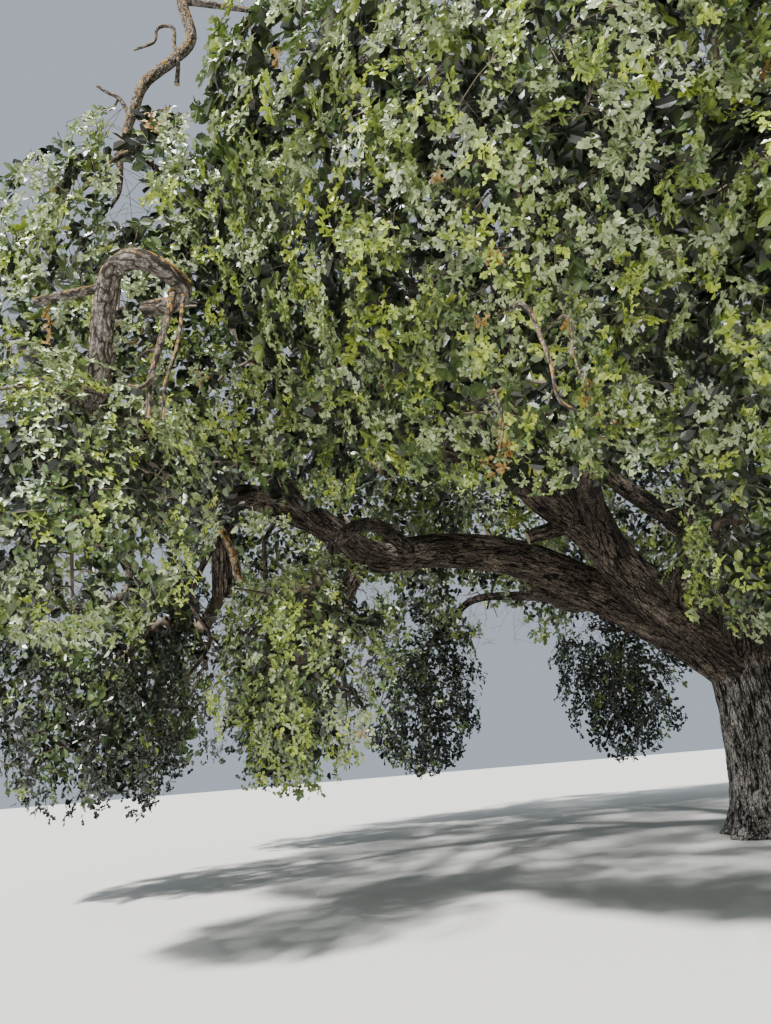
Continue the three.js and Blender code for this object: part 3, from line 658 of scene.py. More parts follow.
class Sheet:
    """The nodes of one material, with a Principled shader at their end."""

    def __init__(self, name):
        self.material = bpy.data.materials.new(name)
        self.material.use_nodes = True
        self.tree = self.material.node_tree
        self.shader = self.tree.nodes["Principled BSDF"]

    def node(self, kind, settings=None, values=None, out=0):
        made = self.tree.nodes.new(kind)
        for setting, value in (settings or {}).items():
            setattr(made, setting, value)
        for socket, value in (values or {}).items():
            self.plug(made.inputs[socket], value)
        return Wire(self, made.outputs[out])

    def plug(self, socket, value):
        if isinstance(value, Wire):
            self.tree.links.new(value.socket, socket)
        else:
            socket.default_value = value

    def value(self, name):
        return self.node("ShaderNodeAttribute", {"attribute_name": name}, out="Fac")

    def place(self, name, scale):
        found = self.node("ShaderNodeAttribute", {"attribute_name": name}, out="Vector")
        return self.node("ShaderNodeVectorMath", {"operation": "MULTIPLY"}, {0: found, 1: scale})

    def cloud(self, vector, detail=3.0, roughness=0.6):
        sockets = {"Vector": vector, "Scale": 1.0, "Detail": detail, "Roughness": roughness}
        return self.node("ShaderNodeTexNoise", {}, sockets)

    def lines(self, name, scale, sharp):
        """0 on lines that wander along a limb, rising to 1 between them."""
        wander = self.cloud(self.place(name, scale), detail=1.5, roughness=0.5) - 0.5
        return (wander.math("ABSOLUTE", wander) * sharp).clipped()

    def between(self, a, b, share):
        """One colour turning into another."""
        return self.node("ShaderNodeMix", {"data_type": "RGBA"}, {0: share, 6: a, 7: b}, out=2)

    def finish(self, **sockets):
        for name, value in sockets.items():
            self.plug(self.shader.inputs[name.replace("_", " ")], value)
        return self.material


def paint(hex_colour):
    """A colour written as on screen, as the shader's linear one."""
    parts = [(hex_colour >> shift & 255) / 255 for shift in (16, 8, 0)]
    return (*(c / 12.92 if c <= 0.04045 else ((c + 0.055) / 1.055) ** 2.4 for c in parts), 1.0)


# Patterns of the bark, in waves per metre round and along a limb, and what their sums are made of
PATTERN = {
    "wide": (12, 12, 2.4), "fine": (30, 30, 8.0), "grain": (80, 80, 25), "patch": (2.2, 2.2, 1.1),
    "lichen": (16, 16, 9), "rings": (160, 160, 160),
}
SHARP = {"wide": 14, "fine": 9, "lichen": 9}
PALE = {"grain": 5, "patch": 3, "from": 0.35}
WOOD = {"fine": 0.6, "coarse": 0.4, "furrow": 0.3, "grain": 0.3}
LICHEN = {"from": 0.44, "roughness": 0.7}
SAWN = {"dark": 0x8A7A64, "pale": 0xC2B497}


def bark_finish(name, ridge, pale_and_highlight, furrow, lichen=None, shorter=1.0):
    """Ridges between dark furrows that wander along a limb, laid out by its place attribute. The near-black
    furrows are painted shade; the pale colour is partly pale bark, partly painted highlight.
    """
    sheet = Sheet(name)
    wide, fine = ((x, y, z * shorter) for x, y, z in (PATTERN["wide"], PATTERN["fine"]))
    wide, fine = sheet.lines("place", wide, SHARP["wide"]), sheet.lines("place", fine, SHARP["fine"])
    grain = sheet.cloud(sheet.place("place", PATTERN["grain"]), detail=4.0)
    patches = sheet.cloud(sheet.place("place", PATTERN["patch"]), detail=3.0)
    paler = ((grain - 0.5) * PALE["grain"] + (patches - 0.5) * PALE["patch"] + PALE["from"]).clipped()
    # The pale colour, mixed in by grain and patches: partly the bark's own pale patches, partly a painted
    # highlight on the ridges
    colour = sheet.between(paint(ridge), paint(pale_and_highlight), paler)
    if lichen:
        spots = sheet.place("place", PATTERN["lichen"])
        growth = sheet.cloud(spots, detail=5.0, roughness=LICHEN["roughness"])
        grown = ((growth - LICHEN["from"]) * SHARP["lichen"]).clipped() * sheet.value("upward")
        colour = sheet.between(colour, paint(lichen), grown)
    ridges = wide * (fine * WOOD["fine"] + WOOD["coarse"]) - sheet.value("furrow") * WOOD["furrow"]
    wood = ridges.clipped()
    # Furrows turn near-black, most where the relief is cut deepest: painted shade in the furrows
    colour = sheet.between(paint(furrow), colour, wood)
    rings = sheet.cloud(sheet.place("rings", PATTERN["rings"]), detail=2.0)
    sawn = sheet.between(paint(SAWN["dark"]), paint(SAWN["pale"]), rings)
    colour = sheet.between(colour, sawn, sheet.value("cut"))
    height = wood + grain * WOOD["grain"]
    bumps = sheet.node("ShaderNodeBump", {}, {"Height": height, "Strength": 0.85, "Distance": 0.02})
    return sheet.finish(Base_Color=colour, Roughness=0.78 + grain * 0.2, Normal=bumps, Specular_IOR_Level=0.3)


RIB = {"narrow": 3.0, "pale": 0.4}


def leaf_finish(name, shade, blade, rib):
    """A leaf's colour: each leaf has its own shade, and its midrib is paler."""
    sheet = Sheet(name)
    own = sheet.between(paint(shade), paint(blade), sheet.value("shade"))
    colour = sheet.between(own, paint(rib), sheet.value("rib") ** RIB["narrow"] * RIB["pale"])
    return sheet.finish(Base_Color=colour, Roughness=0.34, Specular_IOR_Level=0.85)


def wood_finish(name, dark, pale):
    sheet = Sheet(name)
    colour = sheet.between(paint(dark), paint(pale), sheet.value("shade"))
    return sheet.finish(Base_Color=colour, Roughness=0.85, Specular_IOR_Level=0.3)


def plain_finish(name, colour, roughness):
    return Sheet(name).finish(Base_Color=paint(colour), Roughness=roughness)


# Wood in relief: the trunk, the boughs and the bare limbs
# How deep a thin limb's furrows are, as a share of its radius
THIN_DEPTH = 0.12
TRUNK_MESH = {"rings": 60, "sides": 288, "plate": 0.1, "depth": 0.045}


def trunk_piece(material):
    heights = np.linspace(0, TRUNK["height"], TRUNK_MESH["rings"])
    angle = np.linspace(0, 2 * np.pi, TRUNK_MESH["sides"], endpoint=False)
    centres = np.array([trunk_centre(h) for h in heights])
    radii = trunk_radius(heights[:, None], angle[None, :])
    across = np.tile([1.0, 0, 0], (len(heights), 1))
    along = np.tile([0.0, 1, 0], (len(heights), 1))
    skin = Skin(*BARK_FIELDS)
    relief = TRUNK_MESH["plate"], TRUNK_MESH["depth"], SEEDS["trunk"]
    add_bark(skin, centres, across, along, radii, heights, *relief)
    piece = skin.piece("trunk_bark", material, True)
    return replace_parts(piece, "trunk")


bare_names = [row["name"] for row in BARE]


def bough_piece(name, places, material, mesh_size, plate, depth, thin=()):
    """Boughs joined in one piece, with thin limbs that the solids leave out."""
    skin = Skin(*BARK_FIELDS)
    for number, place in enumerate(places):
        add_limb(skin, limbs[place], mesh_size, plate, depth, SEEDS["boughs"] + SEEDS["bough_step"] * number)
    for number, (base, tip, points) in enumerate(thin):
        add_limb(skin, Limb(points, base, tip), mesh_size, plate, THIN_DEPTH * base, SEEDS["thin"] + number)
    piece = skin.piece(name, material, True)
    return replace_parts(piece, *[p if p in bare_names else "bough_" + p for p in places])


# Trunk and boughs wear one bark: the boughs' copy is painted darker, for the shade they lie in
trunk_paint = bark_finish("trunk_bark", ridge=0x575049, pale_and_highlight=0xD8D1C8, furrow=0x0D0A08)
bark = bark_finish("oak_bark_shaded", ridge=0x40362D, pale_and_highlight=0x9C8D7D, furrow=0x0A0806)
old_bark = bark_finish(
    "old_bark", ridge=0x7A716A, pale_and_highlight=0xADA498, furrow=0x2C2621, lichen=0xC2902C, shorter=2.6,
)
# For each kind of limb: its faces' size, its plates' width and its furrows' depth, in metres
STOUT = {"mesh_size": 0.019, "plate": 0.08, "depth": 0.026}
MAIN = {"mesh_size": 0.034, "plate": 0.11, "depth": 0.026}
SECOND = {"mesh_size": 0.034, "plate": 0.09, "depth": 0.012}
DRY = {"mesh_size": 0.016, "plate": 0.05, "depth": 0.01}
stout_left = ["shoulder_left", "skirt_left"]
from_trunk = [m["place"] for m in masses if m["on"] == "trunk" and m["place"] not in stout_left]
from_boughs = [m["place"] for m in masses if m["on"] != "trunk"]
bark_pieces = [
    trunk_piece(trunk_paint),
    bough_piece("upper_left_bough", stout_left[:1], bark, **STOUT),
    bough_piece("lower_left_bough", stout_left[1:], bark, **STOUT),
    bough_piece("boughs_from_trunk", from_trunk, bark, **MAIN),
    bough_piece("boughs_from_boughs", from_boughs, bark, **SECOND, thin=THIN_LIMBS),
    bough_piece("bare_limbs", bare_names, old_bark, **DRY, thin=DEAD_TWIGS),
]


# Foliage
class Wood:
    """The wood that has grown so far in one mass: straight stretches, each with a radius at its two ends."""

    def __init__(self, room):
        self.rows = np.zeros((room, 8))
        self.count = 0

    def add(self, start, end, thick, thin):
        self.rows[self.count] = (*start, *end, thick, thin)
        self.count += 1

    def nearest(self, mass, point, joints):
        """The point of the wood from which a twig grows to a root, and the wood's radius there."""
        rows = self.rows[:self.count]
        start, way = rows[:, :3], rows[:, 3:6] - rows[:, :3]
        share = np.clip(((point - start) * way).sum(1) / np.maximum((way * way).sum(1), 1e-9), *joints)
        found = start + way * share[:, None]
        further_out = np.maximum(0, reach_of(mass, found) - reach_of(mass, point))
        cost = np.linalg.norm(point - found, axis=1) + FINE["backward"] * mass["wide"] * further_out
        best = np.argmin(cost)
        return found[best], rows[best, 6] + (rows[best, 7] - rows[best, 6]) * share[best]


def leaf_cover(points):
    """Metres of foliage between points and the camera, as far ahead as the test goes."""
    way = unit(CAMERA["place"] - points)
    cover = np.zeros(len(points))
    for ahead in np.arange(COVER["step"], COVER["ahead"], COVER["step"]):
        place = points + way * ahead
        covered = np.zeros(len(points))
        for mass in masses:
            dense = COVER["lace"] if hanging(mass) else 1.0
            covered = np.maximum(covered, dense * (reach_of(mass, place) < 1))
        cover += COVER["step"] * covered
    return cover


def picture_place(points):
    """Where the camera sees points, in pixels of the picture, and how deep they lie."""
    offset = points - CAMERA["place"]
    pitch, roll = math.radians(CAMERA["pitch"]), math.radians(CAMERA["roll"])
    depth = offset[:, 1] * math.cos(pitch) + offset[:, 2] * math.sin(pitch)
    across = offset[:, 0] / depth
    down = (offset[:, 1] * math.sin(pitch) - offset[:, 2] * math.cos(pitch)) / depth
    turned = np.stack([
        across * math.cos(roll) + down * math.sin(roll),
        down * math.cos(roll) - across * math.sin(roll),
    ], 1)
    return CAMERA["focal_pixels"] * turned + CAMERA["middle"], depth


def in_picture(points):
    place, depth = picture_place(points)
    edge = CAMERA["middle"] + CAMERA["margin"] * CAMERA["focal_pixels"] / np.maximum(depth, 1)[:, None]
    return (depth > 0) & (np.abs(place - CAMERA["middle"]) < edge).all(1)


def in_opening(points):
    """Whether points lie where the view has an opening, or before a limb that shows."""
    place, depth = picture_place(points)
    opened = np.zeros(len(points), bool)
    for radius, limit, places in OPENINGS.values():
        for x, y in places:
            opened |= (np.hypot(place[:, 0] - x, place[:, 1] - y) < radius) & (depth > 0) & (depth < limit)
    return opened


def planned_sizes():
    """Sprays' sizes over a grid: near life-size where the camera sees them, larger inside and beyond."""
    cells = np.indices(COVER["cells"]).reshape(3, -1).T
    points = COVER["low"] + (cells + 0.5) * COVER["cell"]
    apart = np.linalg.norm(points - CAMERA["place"], axis=1)
    (near, small), (far, large) = SPRAY["near"], SPRAY["far"]
    seen = np.interp(apart, [near, far], [small, large])
    hidden = np.clip((leaf_cover(points) - COVER["free"]) / COVER["fade"], 0, 1)
    behind = np.maximum(seen, SPRAY["behind"])
    sizes = np.where(in_picture(points), seen + (behind - seen) * hidden, SPRAY["hidden"])
    return sizes.reshape(COVER["cells"])


size_grid = planned_sizes()


def spray_size(points):
    cells = np.floor((points - COVER["low"]) / COVER["cell"]).astype(int)
    cells = np.clip(cells, 0, np.array(COVER["cells"]) - 1)
    return size_grid[tuple(cells.T)]


def drawn_points(mass, count, shell, draw):
    """Points drawn in a shell of a mass's ellipsoid, those of them that are the mass's own."""
    z, turn, depth = draw(count, 3).T
    z = 2 * z - 1
    flat = np.sqrt(1 - z * z)
    away = np.stack([flat * np.cos(2 * np.pi * turn), flat * np.sin(2 * np.pi * turn), z], 1)
    tall = np.where(z > 0, mass["above"], mass["below"])
    offset = away * np.stack([np.full(count, mass["wide"]), np.full(count, mass["wide"]), tall], 1)
    points = mass["centre"] + offset * (shell[0] + (shell[1] - shell[0]) * depth)[:, None]
    return points[inside_space(mass, points)]


def main_roots(mass, draw):
    """Roots of the main twigs, as in the part's source: each the furthest of some from those before it."""
    roots = []
    while len(roots) < GROWTH["spare"] * mass["twigs"]:
        points = drawn_points(mass, GROWTH["candidates"], GROWTH["shell"], draw)
        if len(points):
            gaps = np.linalg.norm(points[:, None] - np.array(roots or [mass["centre"]])[None], axis=2).min(1)
            roots.append(points[np.argmax(gaps) if roots else 0])
    return roots


def outline_share(mass, points):
    """How much of a mass's reach its sprays take up round points: less in the bays down its sides."""
    bay = BAYS["hanging" if hanging(mass) else "upright"]
    waves = noise(points * BAYS["waves"], mass["seed"])
    return 1 - bay * np.clip(0.5 + waves, 0, 1)


def scattered_roots(mass, count, shell, spacing, draw):
    """Roots of sprays, each kept if it stands clear of those before it by its own spray's size."""
    points = drawn_points(mass, count, shell, draw)
    points = points[reach_of(mass, points) < outline_share(mass, points)]
    clear = (spacing * spray_size(points)) ** 2
    kept = np.full((len(points), 3), np.inf)
    number = 0
    for point, least in zip(points, clear):
        apart = kept[:number] - point
        if not number or (apart * apart).sum(1).min() > least:
            kept[number] = point
            number += 1
    return kept[:number]


def spray_axes(mass, root, draw):
    """A drawn way for a spray: outward, aside and down by its mass's droop, with its flat side facing out."""
    outward = unit(root - mass["centre"])
    z = 2 * draw() - 1
    turn = 2 * math.pi * draw()
    flat = math.sqrt(1 - z * z)
    aside = np.array([flat * math.cos(turn), flat * math.sin(turn), z])
    along = unit(outward * GROWTH["outward"] + aside * GROWTH["random"] - np.array([0, 0, mass["droop"]]))
    across = np.cross(along, outward)
    if np.linalg.norm(across) < SPRAY["least_turn"]:
        across = np.cross(along, (1, 0, 0))
    return along, unit(across)


def stem_path(mass):
    """The wood that carries on from a bough's tip to the middle of its mass."""
    limb = limbs[mass["place"]]
    along = limb.path.ways([1])[0]
    start = limb.path.one(1)
    bend = start + along * STEM["bend"]
    middle = mass["centre"] + (bend - mass["centre"]) * STEM["lean"]
    path = Path([start, bend, middle, at_level(mass, mass["stem"])])
    return path, STEM["base"] * limb.tip, STEM["tip"] * limb.tip


twigs = []
sprays = []


def grow_twig(mass, wood, root, limits, taper, draw):
    """A twig from the nearest wood to a root, bowed a little, in two straight stretches."""
    start, thick = wood.nearest(mass, root, GROWTH["joints"] if wood.count > STEM["stretches"] else (0, 1))
    thick = min(max(taper * thick, limits[0]), limits[1])
    span = np.linalg.norm(root - start)
    middle = (start + root) / 2 + (draw(3) - 0.5 + FINE["lift"]) * FINE["bow"] * span
    thin = max(FINE["thinning"] * thick, FINE["twig_radius"][0])
    between = 0.5 * (thick + thin)
    wood.add(start, middle, thick, between)
    wood.add(middle, root, between, thin)


def grow_spray(mass, root, draw, scale=1.0, kind="outer"):
    """The spray at a root: the largest, of some drawn ways, that keeps to the mass's space."""
    ways = [spray_axes(mass, root, draw) for _ in range(FINE["ways"])]
    along = np.array([way[0] for way in ways])
    size = spray_size(root[None])[0] * scale
    if in_opening((root + along[0] * SPRAY["test"] * SPRAY["length"] * size)[None])[0]:
        return
    for share in SPRAY["sizes"]:
        tips = root + along * SPRAY["length"] * size * share
        free = inside_space(mass, tips, 1.0, SPRAY["overlap"])
        if free.any():
            sprays.append((mass, root, *ways[np.argmax(free)], size * share, kind))
            return


def grow_mass(mass):
    draw = Draws(mass["seed"])
    path, base, tip = stem_path(mass)
    bends = path.at(np.linspace(0, 1, STEM["stretches"] + 1))
    radii = np.linspace(base, tip, STEM["stretches"] + 1)
    main = main_roots(mass, draw)
    main.sort(key=lambda p: np.linalg.norm(p - bends[0]))
    inner = []
    if mass["core"]:
        inner = scattered_roots(mass, FINE["inner_tries"], FINE["inner_shell"], FINE["inner_spacing"], draw)
    shell = FINE["hanging_shell" if hanging(mass) else "shell"]
    spacing = FINE["spacing"] * CLOSER.get(mass["place"], 1.0)
    outer = scattered_roots(mass, FINE["tries"], shell, spacing, draw)
    wood = Wood(STEM["stretches"] + 2 * (len(main) + len(inner) + len(outer)))
    for stretch in zip(bends, bends[1:], radii, radii[1:]):
        wood.add(*stretch)
    for root in main:
        grow_twig(mass, wood, root, GROWTH["twig_radius"], GROWTH["taper"], draw)
        grow_spray(mass, root, draw)
    fine = [(root, SPRAY["inner"], "inner") for root in inner] + [(root, 1.0, "outer") for root in outer]
    fine.sort(key=lambda row: reach_of(mass, row[0]))
    for root, scale, kind in fine:
        grow_twig(mass, wood, root, FINE["twig_radius"], FINE["taper"], draw)
        grow_spray(mass, root, draw, scale, kind)
    twigs.extend(wood.rows)


for mass in masses:
    grow_mass(mass)

# A spray's plan: the leaves round the end of a shoot, and the side shoots
ROSETTE = {
    "from": np.array([0.7, 0, 0]), "splay": 2.1, "stray": 0.25, "back": 0.3, "lift": 0.5,
    "sizes": (0.72, 1.1),
}
SHOOT = {
    "end": np.array([1, 0, 0.04]), "first": 0.1, "last": 0.72, "angle": (0.6, 1.0), "vary": (0.75, 1.15),
    "shorter": 0.35, "lift": (-0.1, 0.16), "fewer": 3, "leaf_turn": (-1.4, -0.6), "leaf_lift": 0.1,
    "leaf_size": (0.7, 1.0),
}
# How many plans there are, each with how many side shoots, leaves round an end, and how long a side shoot
PLANS = {"upright": (8, 5, 7, 0.46), "hanging": (6, 6, 5, 0.26)}
# Where a leaf's heading, lift, size and the number of its rosette stand in its row, after its foot
HEADING, LIFT, SIZE, GROUP = 3, 4, 5, 6


def add_rosette(rows, foot, tip, leaves, group, rng):
    """Leaves round the end of a shoot, spread like a hand and lifted off its plane."""
    heading = math.atan2(tip[1] - foot[1], tip[0] - foot[0])
    for k in range(leaves):
        stray = rng.uniform(-ROSETTE["stray"], ROSETTE["stray"])
        splay = (2 * k / (leaves - 1) - 1) * ROSETTE["splay"] + stray
        at = tip + (foot - tip) * rng.uniform(0, ROSETTE["back"])
        lift = rng.uniform(0, ROSETTE["lift"])
        rows.append((*at, heading + splay, lift, rng.uniform(*ROSETTE["sizes"]), group))


def spray_plan(rng, side_shoots, rosette, side_length):
    """A leafy shoot of length 1 laid out flat, x along it, y across it, z out: its leaves and its shoots."""
    leaves, shoots = [], [(np.zeros(3), SHOOT["end"])]
    add_rosette(leaves, ROSETTE["from"], SHOOT["end"], rosette, 0, rng)
    for i in range(side_shoots):
        x = SHOOT["first"] + SHOOT["last"] * i / side_shoots
        hand = 1 if i % 2 else -1
        angle = hand * rng.uniform(*SHOOT["angle"])
        reach = side_length * rng.uniform(*SHOOT["vary"]) * (1 - SHOOT["shorter"] * x)
        foot = x * SHOOT["end"]
        end = np.array([x + reach * math.cos(angle), reach * math.sin(angle), rng.uniform(*SHOOT["lift"])])
        shoots.append((foot, end))
        add_rosette(leaves, foot, end, rosette - rng.integers(0, SHOOT["fewer"]), i + 1, rng)
        middle = (foot + end) / 2
        heading = angle + hand * rng.uniform(*SHOOT["leaf_turn"])
        leaves.append((*middle, heading, SHOOT["leaf_lift"], rng.uniform(*SHOOT["leaf_size"]), i + 1))
    return np.array(leaves), np.array(shoots)


LEAF_TIP = (1.05, 0, -0.08)


def leaf_corners(half):
    """Corners of a leaf of length 1 along x: its foot, one edge, its tip, and the other edge mirrored."""
    return np.array([(0, 0, 0), *half, LEAF_TIP, *[(x, -y, z) for x, y, z in reversed(half)]])


# Half of a leaf's outline, from its foot by its lobes, as along, across and lifted, then the triangles that
# fold at its midrib, and which corners lie on the midrib
LOBED = {
    "points": leaf_corners([(0.3, 0.25, 0.06), (0.45, 0.11, 0.02), (0.74, 0.31, 0.07)]),
    "faces": np.array([(0, 2, 1), (0, 4, 2), (2, 4, 3), (0, 6, 4), (6, 5, 4), (0, 7, 6)]),
    "rib": np.array([1.0, 0, 0, 0, 1, 0, 0, 0]),
}
PLAIN = {
    "points": leaf_corners([(0.34, 0.27, 0.06), (0.76, 0.31, 0.05)]),
    "faces": np.array([(0, 3, 1), (1, 3, 2), (0, 5, 3), (5, 4, 3)]),
    "rib": np.array([1.0, 0, 0, 1, 0, 0]),
}

# Each tint: a leaf in shade of its own, a full one, and its midrib
TINTS = {
    "sage": (0x748454, 0xABB984, 0xC6D0A0),
    "olive": (0x586A2D, 0x8A9D49, 0xA9B660),
    "yellow_green": (0x86992E, 0xBBCA54, 0xCFD872),
    "deep_green": (0x38482A, 0x647A42, 0x83945B),
    # Pale silver-green: partly the paler leaf undersides, partly a painted glint of sunlight on glossy leaves
    "silver_green": (0x8A9874, 0xB9C69F, 0xD0D8BA),
    # Near-black leaves, dealt where the crown lies in shade: painted shade
    "gloom": (0x0D120A, 0x212A18, 0x323D27),
    "autumn": (0x86652E, 0xB08F4A, 0xC0A562),
}
# How often each tint is dealt: on the sunny outside, on the yellower masses at the front, under the skirts
# that hang in shade, and deeper inside; the near-black tint in these deals is painted shade
SHARES = {
    "sunny": {
        "sage": 0.34, "olive": 0.24, "yellow_green": 0.15, "deep_green": 0.16, "silver_green": 0.1,
        "autumn": 0.01,
    },
    "yellow": {
        "sage": 0.28, "olive": 0.24, "yellow_green": 0.18, "deep_green": 0.18, "gloom": 0.06,
        "silver_green": 0.05, "autumn": 0.01,
    },
    "shade": {"olive": 0.03, "deep_green": 0.12, "gloom": 0.85},
    "inner": {"olive": 0.06, "deep_green": 0.3, "gloom": 0.64},
}
DEALS = {
    "tongue_front": "yellow", "skirt_corner": "yellow", "tongue_right": "yellow",
    "skirt_left": "shade", "skirt_far_left": "shade", "skirt_back": "shade", "skirt_back_left": "shade",
}
# Sprays deeper than this share of a mass's outline are dealt the inner tints, dark as painted shade
DEEP = 0.84
# The share of a spray's rosettes whose tint is drawn anew
MIXED = 0.35


def dealt(rng, deal, count):
    """Tints for the rosettes of a spray: most of them its own, the rest drawn anew."""
    names, odds = zip(*SHARES[deal].items())
    drawn = rng.choice(len(names), count, p=np.array(odds) / sum(odds))
    drawn = np.where(rng.random(count) < MIXED, drawn, drawn[0])
    return [names[k] for k in drawn]


def bent(local, root, turn, length):
    """Points of a spray's plan, turned its way and sagging towards its end."""
    return root + length * (local @ turn + local[..., :1] ** 2 * SPRAY["sag"])


def leaf_axes(leaves, turn, rng):
    """For each leaf of a plan, the ways along it, across it and out of its face."""
    heading, lift = leaves[:, HEADING], leaves[:, LIFT]
    flat = np.cos(lift)
    planned = np.stack([np.cos(heading) * flat, np.sin(heading) * flat, np.sin(lift)], 1)
    way = unit(planned @ turn + rng.normal(0, LEAF["turn"], planned.shape) - LEAF["weight"])
    face = unit(turn[2] + rng.normal(0, LEAF["tilt"], way.shape) + LEAF["light"])
    side = unit(np.cross(face, way))
    return np.stack([way, side, np.cross(way, side)], 1)


def repeated(faces, corners, count):
    """The faces of one shape, for so many copies of it, one after another."""
    return (faces[None] + corners * np.arange(count)[:, None, None]).reshape(-1, 3)


def add_leaves(skin, leaf, feet, axes, span, shade):
    count, corners = len(feet), len(leaf["points"])
    points = feet[:, None] + np.einsum("nkc,ncd->nkd", leaf["points"][None] * span[:, None, None], axes)
    values = {"shade": np.repeat(shade, corners), "rib": np.tile(leaf["rib"], count)}
    skin.add(points.reshape(-1, 3), repeated(leaf["faces"], corners, count), **values)


def leaf_choice(leaves, size, deep, rng):
    """A spray's leaves, lobed or plain, how long each is, and which grow: plain ones are larger and fewer."""
    own = rng.uniform(1 - LEAF["vary"], 1 + LEAF["vary"], len(leaves))
    span = LEAF["length"] * size * leaves[:, SIZE] * own
    if not deep and size <= LEAF["plain_from"]:
        return LOBED, span, np.ones(len(leaves), bool)
    grown = rng.random(len(leaves)) < LEAF["plain_share"]
    largest = LEAF["largest"] * max(1.0, size) ** LEAF["growth"]
    return PLAIN, np.minimum(span / math.sqrt(LEAF["plain_share"]), largest), grown


def shoot_cones(mass, ends, size):
    """Those of a spray's shoots that keep to the mass, the main one thicker than the others."""
    thick = FINE["twig_radius"][0] * size
    rows = []
    for number, (a, b) in enumerate(ends):
        if reach_of(mass, b) < 1.0:
            rows.append((*a, *b, thick * SPRAY["side_shoot" if number else "main_shoot"], 0.0))
    return rows


def in_crevices():
    """Which sprays lie in the gaps between masses, with foliage between them and the camera: they are dealt
    dark tints, painted shade.
    """
    roots = np.array([row[1] for row in sprays])
    outward = roots - np.array([row[0]["centre"] for row in sprays])
    facing = (outward * (CAMERA["place"] - roots)).sum(1) > 0
    return (leaf_cover(roots) > COVER["crevice"]) & facing


def dress_sprays():
    """Leaves and shoots for all sprays, and the places where acorns hang."""
    rng = np.random.default_rng(SEEDS["leaves"])
    plans = {form: [spray_plan(rng, *row) for _ in range(count)] for form, (count, *row) in PLANS.items()}
    skins = {(tint, side): Skin("shade", "rib") for tint in TINTS for side in ("front", "back")}
    shoot_rows, fruit = [], []
    for (mass, root, along, across, size, kind), shaded in zip(sprays, in_crevices()):
        choices = plans["hanging" if hanging(mass) else "upright"]
        leaves, shoots = choices[rng.integers(len(choices))]
        length = SPRAY["length"] * size * (SPRAY["hanging_length"] if hanging(mass) else 1.0)
        turn = np.stack([along, across, np.cross(across, along)])
        feet = bent(leaves[:, :3], root, turn, length)
        axes = leaf_axes(leaves, turn, rng)
        deep = shaded or kind == "inner" or reach_of(mass, root) < DEEP * outline_share(mass, root[None])[0]
        leaf, span, keep = leaf_choice(leaves, size, deep, rng)
        keep &= reach_of(mass, feet + axes[:, 0] * span[:, None]) < LEAF["reach"]
        if not keep.any():
            continue
        # Deep sprays and those in crevices get the dark inner tints: painted shade
        deal = "inner" if deep else DEALS.get(mass["place"], "sunny")
        tints = dealt(rng, deal, 1 + int(leaves[:, GROUP].max()))
        half = "front" if mass["centre"][1] < 0 else "back"
        for tint in dict.fromkeys(tints):
            chosen = keep & np.isin(leaves[:, GROUP], [k for k, name in enumerate(tints) if name == tint])
            if chosen.any():
                shade = rng.uniform(0, 1, chosen.sum()) ** LEAF["pale"]
                add_leaves(skins[tint, half], leaf, feet[chosen], axes[chosen], span[chosen], shade)
        ends = bent(shoots, root, turn, length)
        shoot_rows += shoot_cones(mass, ends[:1] if leaf is PLAIN else ends, size)
        if leaf is LOBED and kind == "outer" and rng.random() < ACORN["odds"]:
            fruit.append((feet[keep][rng.integers(keep.sum())], size))
    return skins, shoot_rows, fruit


def add_sticks(skin, rows, sides, rng):
    """Straight stretches of twig, all at once: tubes, or cones where they end in a point."""
    rows = np.array(rows)
    for pointed in (False, True):
        part = rows[(rows[:, 7] == 0) == pointed]
        if not len(part):
            continue
        way = unit(part[:, 3:6] - part[:, :3])
        side = unit(np.cross(way, np.where(np.abs(way[:, 2:]) < STEEP, [[0.0, 0, 1]], [[1.0, 0, 0]])))
        other = np.cross(way, side)
        angle = 2 * np.pi * np.arange(sides) / sides
        ring = np.cos(angle)[:, None] * side[:, None] + np.sin(angle)[:, None] * other[:, None]
        foot = part[:, None, :3] + ring * part[:, None, 6:7]
        if pointed:
            block = np.concatenate([foot, part[:, None, 3:6]], 1)
            faces = cap_faces(sides, False)
        else:
            block = np.concatenate([foot, part[:, None, 3:6] + ring * part[:, None, 7:8]], 1)
            faces = tube_faces(2, sides)
        count, corners = block.shape[:2]
        shade = np.repeat(rng.uniform(0, 1, count), corners)
        skin.add(block.reshape(-1, 3), repeated(faces, corners, count), shade=shade)


foliage_nodes = ["foliage_" + mass["place"] for mass in masses]
leaf_skins, shoots, fruit = dress_sprays()
leaf_paints = {tint: leaf_finish("leaf_" + tint, *colours) for tint, colours in TINTS.items()}
for (tint, side), skin in leaf_skins.items():
    piece = skin.piece(f"leaves_{tint}_{side}", leaf_paints[tint], False)
    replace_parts(piece, *foliage_nodes)

# An acorn's outline as level and radius, in its own lengths: its cup, then its nut
CUP = [(0.0, 0.12), (-0.12, 0.42), (-0.38, 0.5), (-0.44, 0.42)]
NUT = [(-0.44, 0.42), (-0.75, 0.38), (-1.05, 0.22), (-1.35, 0.02)]


def add_acorns(skin, rows, rng):
    angle = 2 * np.pi * np.arange(ACORN["sides"]) / ACORN["sides"]
    circle = np.stack([np.cos(angle), np.sin(angle)], 1)
    for foot, size in rows:
        length = ACORN["length"] * rng.uniform(*ACORN["vary"]) * max(1.0, ACORN["growth"] * size)
        lean = rng.uniform(-ACORN["lean"], ACORN["lean"], 2)
        for nut, outline in enumerate((CUP, NUT)):
            points = np.array([(*(r * circle[k]), z) for z, r in outline for k in range(ACORN["sides"])])
            points[:, :2] += points[:, 2:] * lean
            skin.add(foot + length * points, tube_faces(len(outline), ACORN["sides"]), shade=float(nut))


stick_rng = np.random.default_rng(SEEDS["sticks"])
acorns = Skin("shade")
add_acorns(acorns, fruit, stick_rng)
acorn_piece = acorns.piece("acorns", wood_finish("acorn", dark=0x7C7A4E, pale=0xA9B04E), True)
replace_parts(acorn_piece, *foliage_nodes)

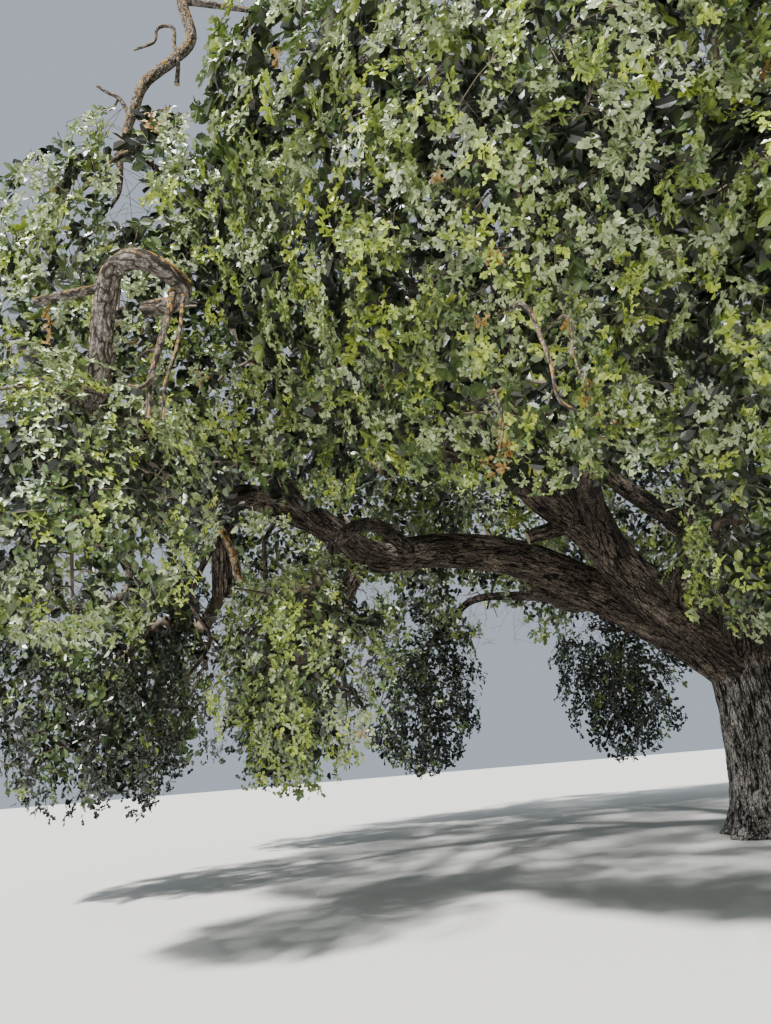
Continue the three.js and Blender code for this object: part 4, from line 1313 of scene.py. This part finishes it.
STICK_SIDES = 3
for name, rows in (("twigs", twigs), ("shoots", shoots)):
    skin = Skin("shade")
    add_sticks(skin, rows, STICK_SIDES, stick_rng)
    piece = skin.piece(name, wood_finish("wood_of_" + name, dark=0x4E453B, pale=0x857866), True)
    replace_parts(piece, *foliage_nodes)

# The stage: a plain pale floor, soft light and the camera
FLOOR = {"half": 150, "under": 0.002, "colour": 0xD9D6CF, "roughness": 0.9}
DAYLIGHT = {"colour": (0.72, 0.82, 0.95, 1), "strength": 0.6}
SUN = {"energy": 9.5, "angle": 4, "from": (-0.34, -0.5, 0.8)}


def make_stage():
    mesh = bpy.data.meshes.new("floor")
    corners = [(x * FLOOR["half"], y * FLOOR["half"], 0) for x, y in ((-1, -1), (1, -1), (1, 1), (-1, 1))]
    mesh.from_pydata(corners, [], [(0, 1, 2, 3)])
    mesh.materials.append(plain_finish("pale_floor", FLOOR["colour"], FLOOR["roughness"]))
    floor = stood("floor", mesh)
    floor.location.z = -FLOOR["under"]
    world = bpy.data.worlds.new("studio")
    bpy.context.scene.world = world
    world.use_nodes = True
    background = world.node_tree.nodes["Background"].inputs
    background["Color"].default_value = DAYLIGHT["colour"]
    background["Strength"].default_value = DAYLIGHT["strength"]
    light = bpy.data.lights.new("key", "SUN")
    light.energy = SUN["energy"]
    light.angle = math.radians(SUN["angle"])
    key = stood("key", light)
    key.rotation_mode = "QUATERNION"
    key.rotation_quaternion = Vector(SUN["from"]).to_track_quat("Z", "Y")


def make_camera():
    camera = bpy.data.cameras.new("camera")
    camera.lens = CAMERA["focal_pixels"] / CAMERA["long_side"] * CAMERA["sensor"]
    camera.sensor_width = CAMERA["sensor"]
    camera.clip_end = CAMERA["reach"]
    placed = stood("camera", camera)
    tilt = Matrix.Rotation(math.radians(90 + CAMERA["pitch"]), 4, "X")
    roll = Matrix.Rotation(math.radians(-CAMERA["roll"]), 4, "Z")
    placed.matrix_world = Matrix.Translation(Vector(CAMERA["place"])) @ tilt @ roll
    bpy.context.scene.camera = placed


make_stage()
make_camera()
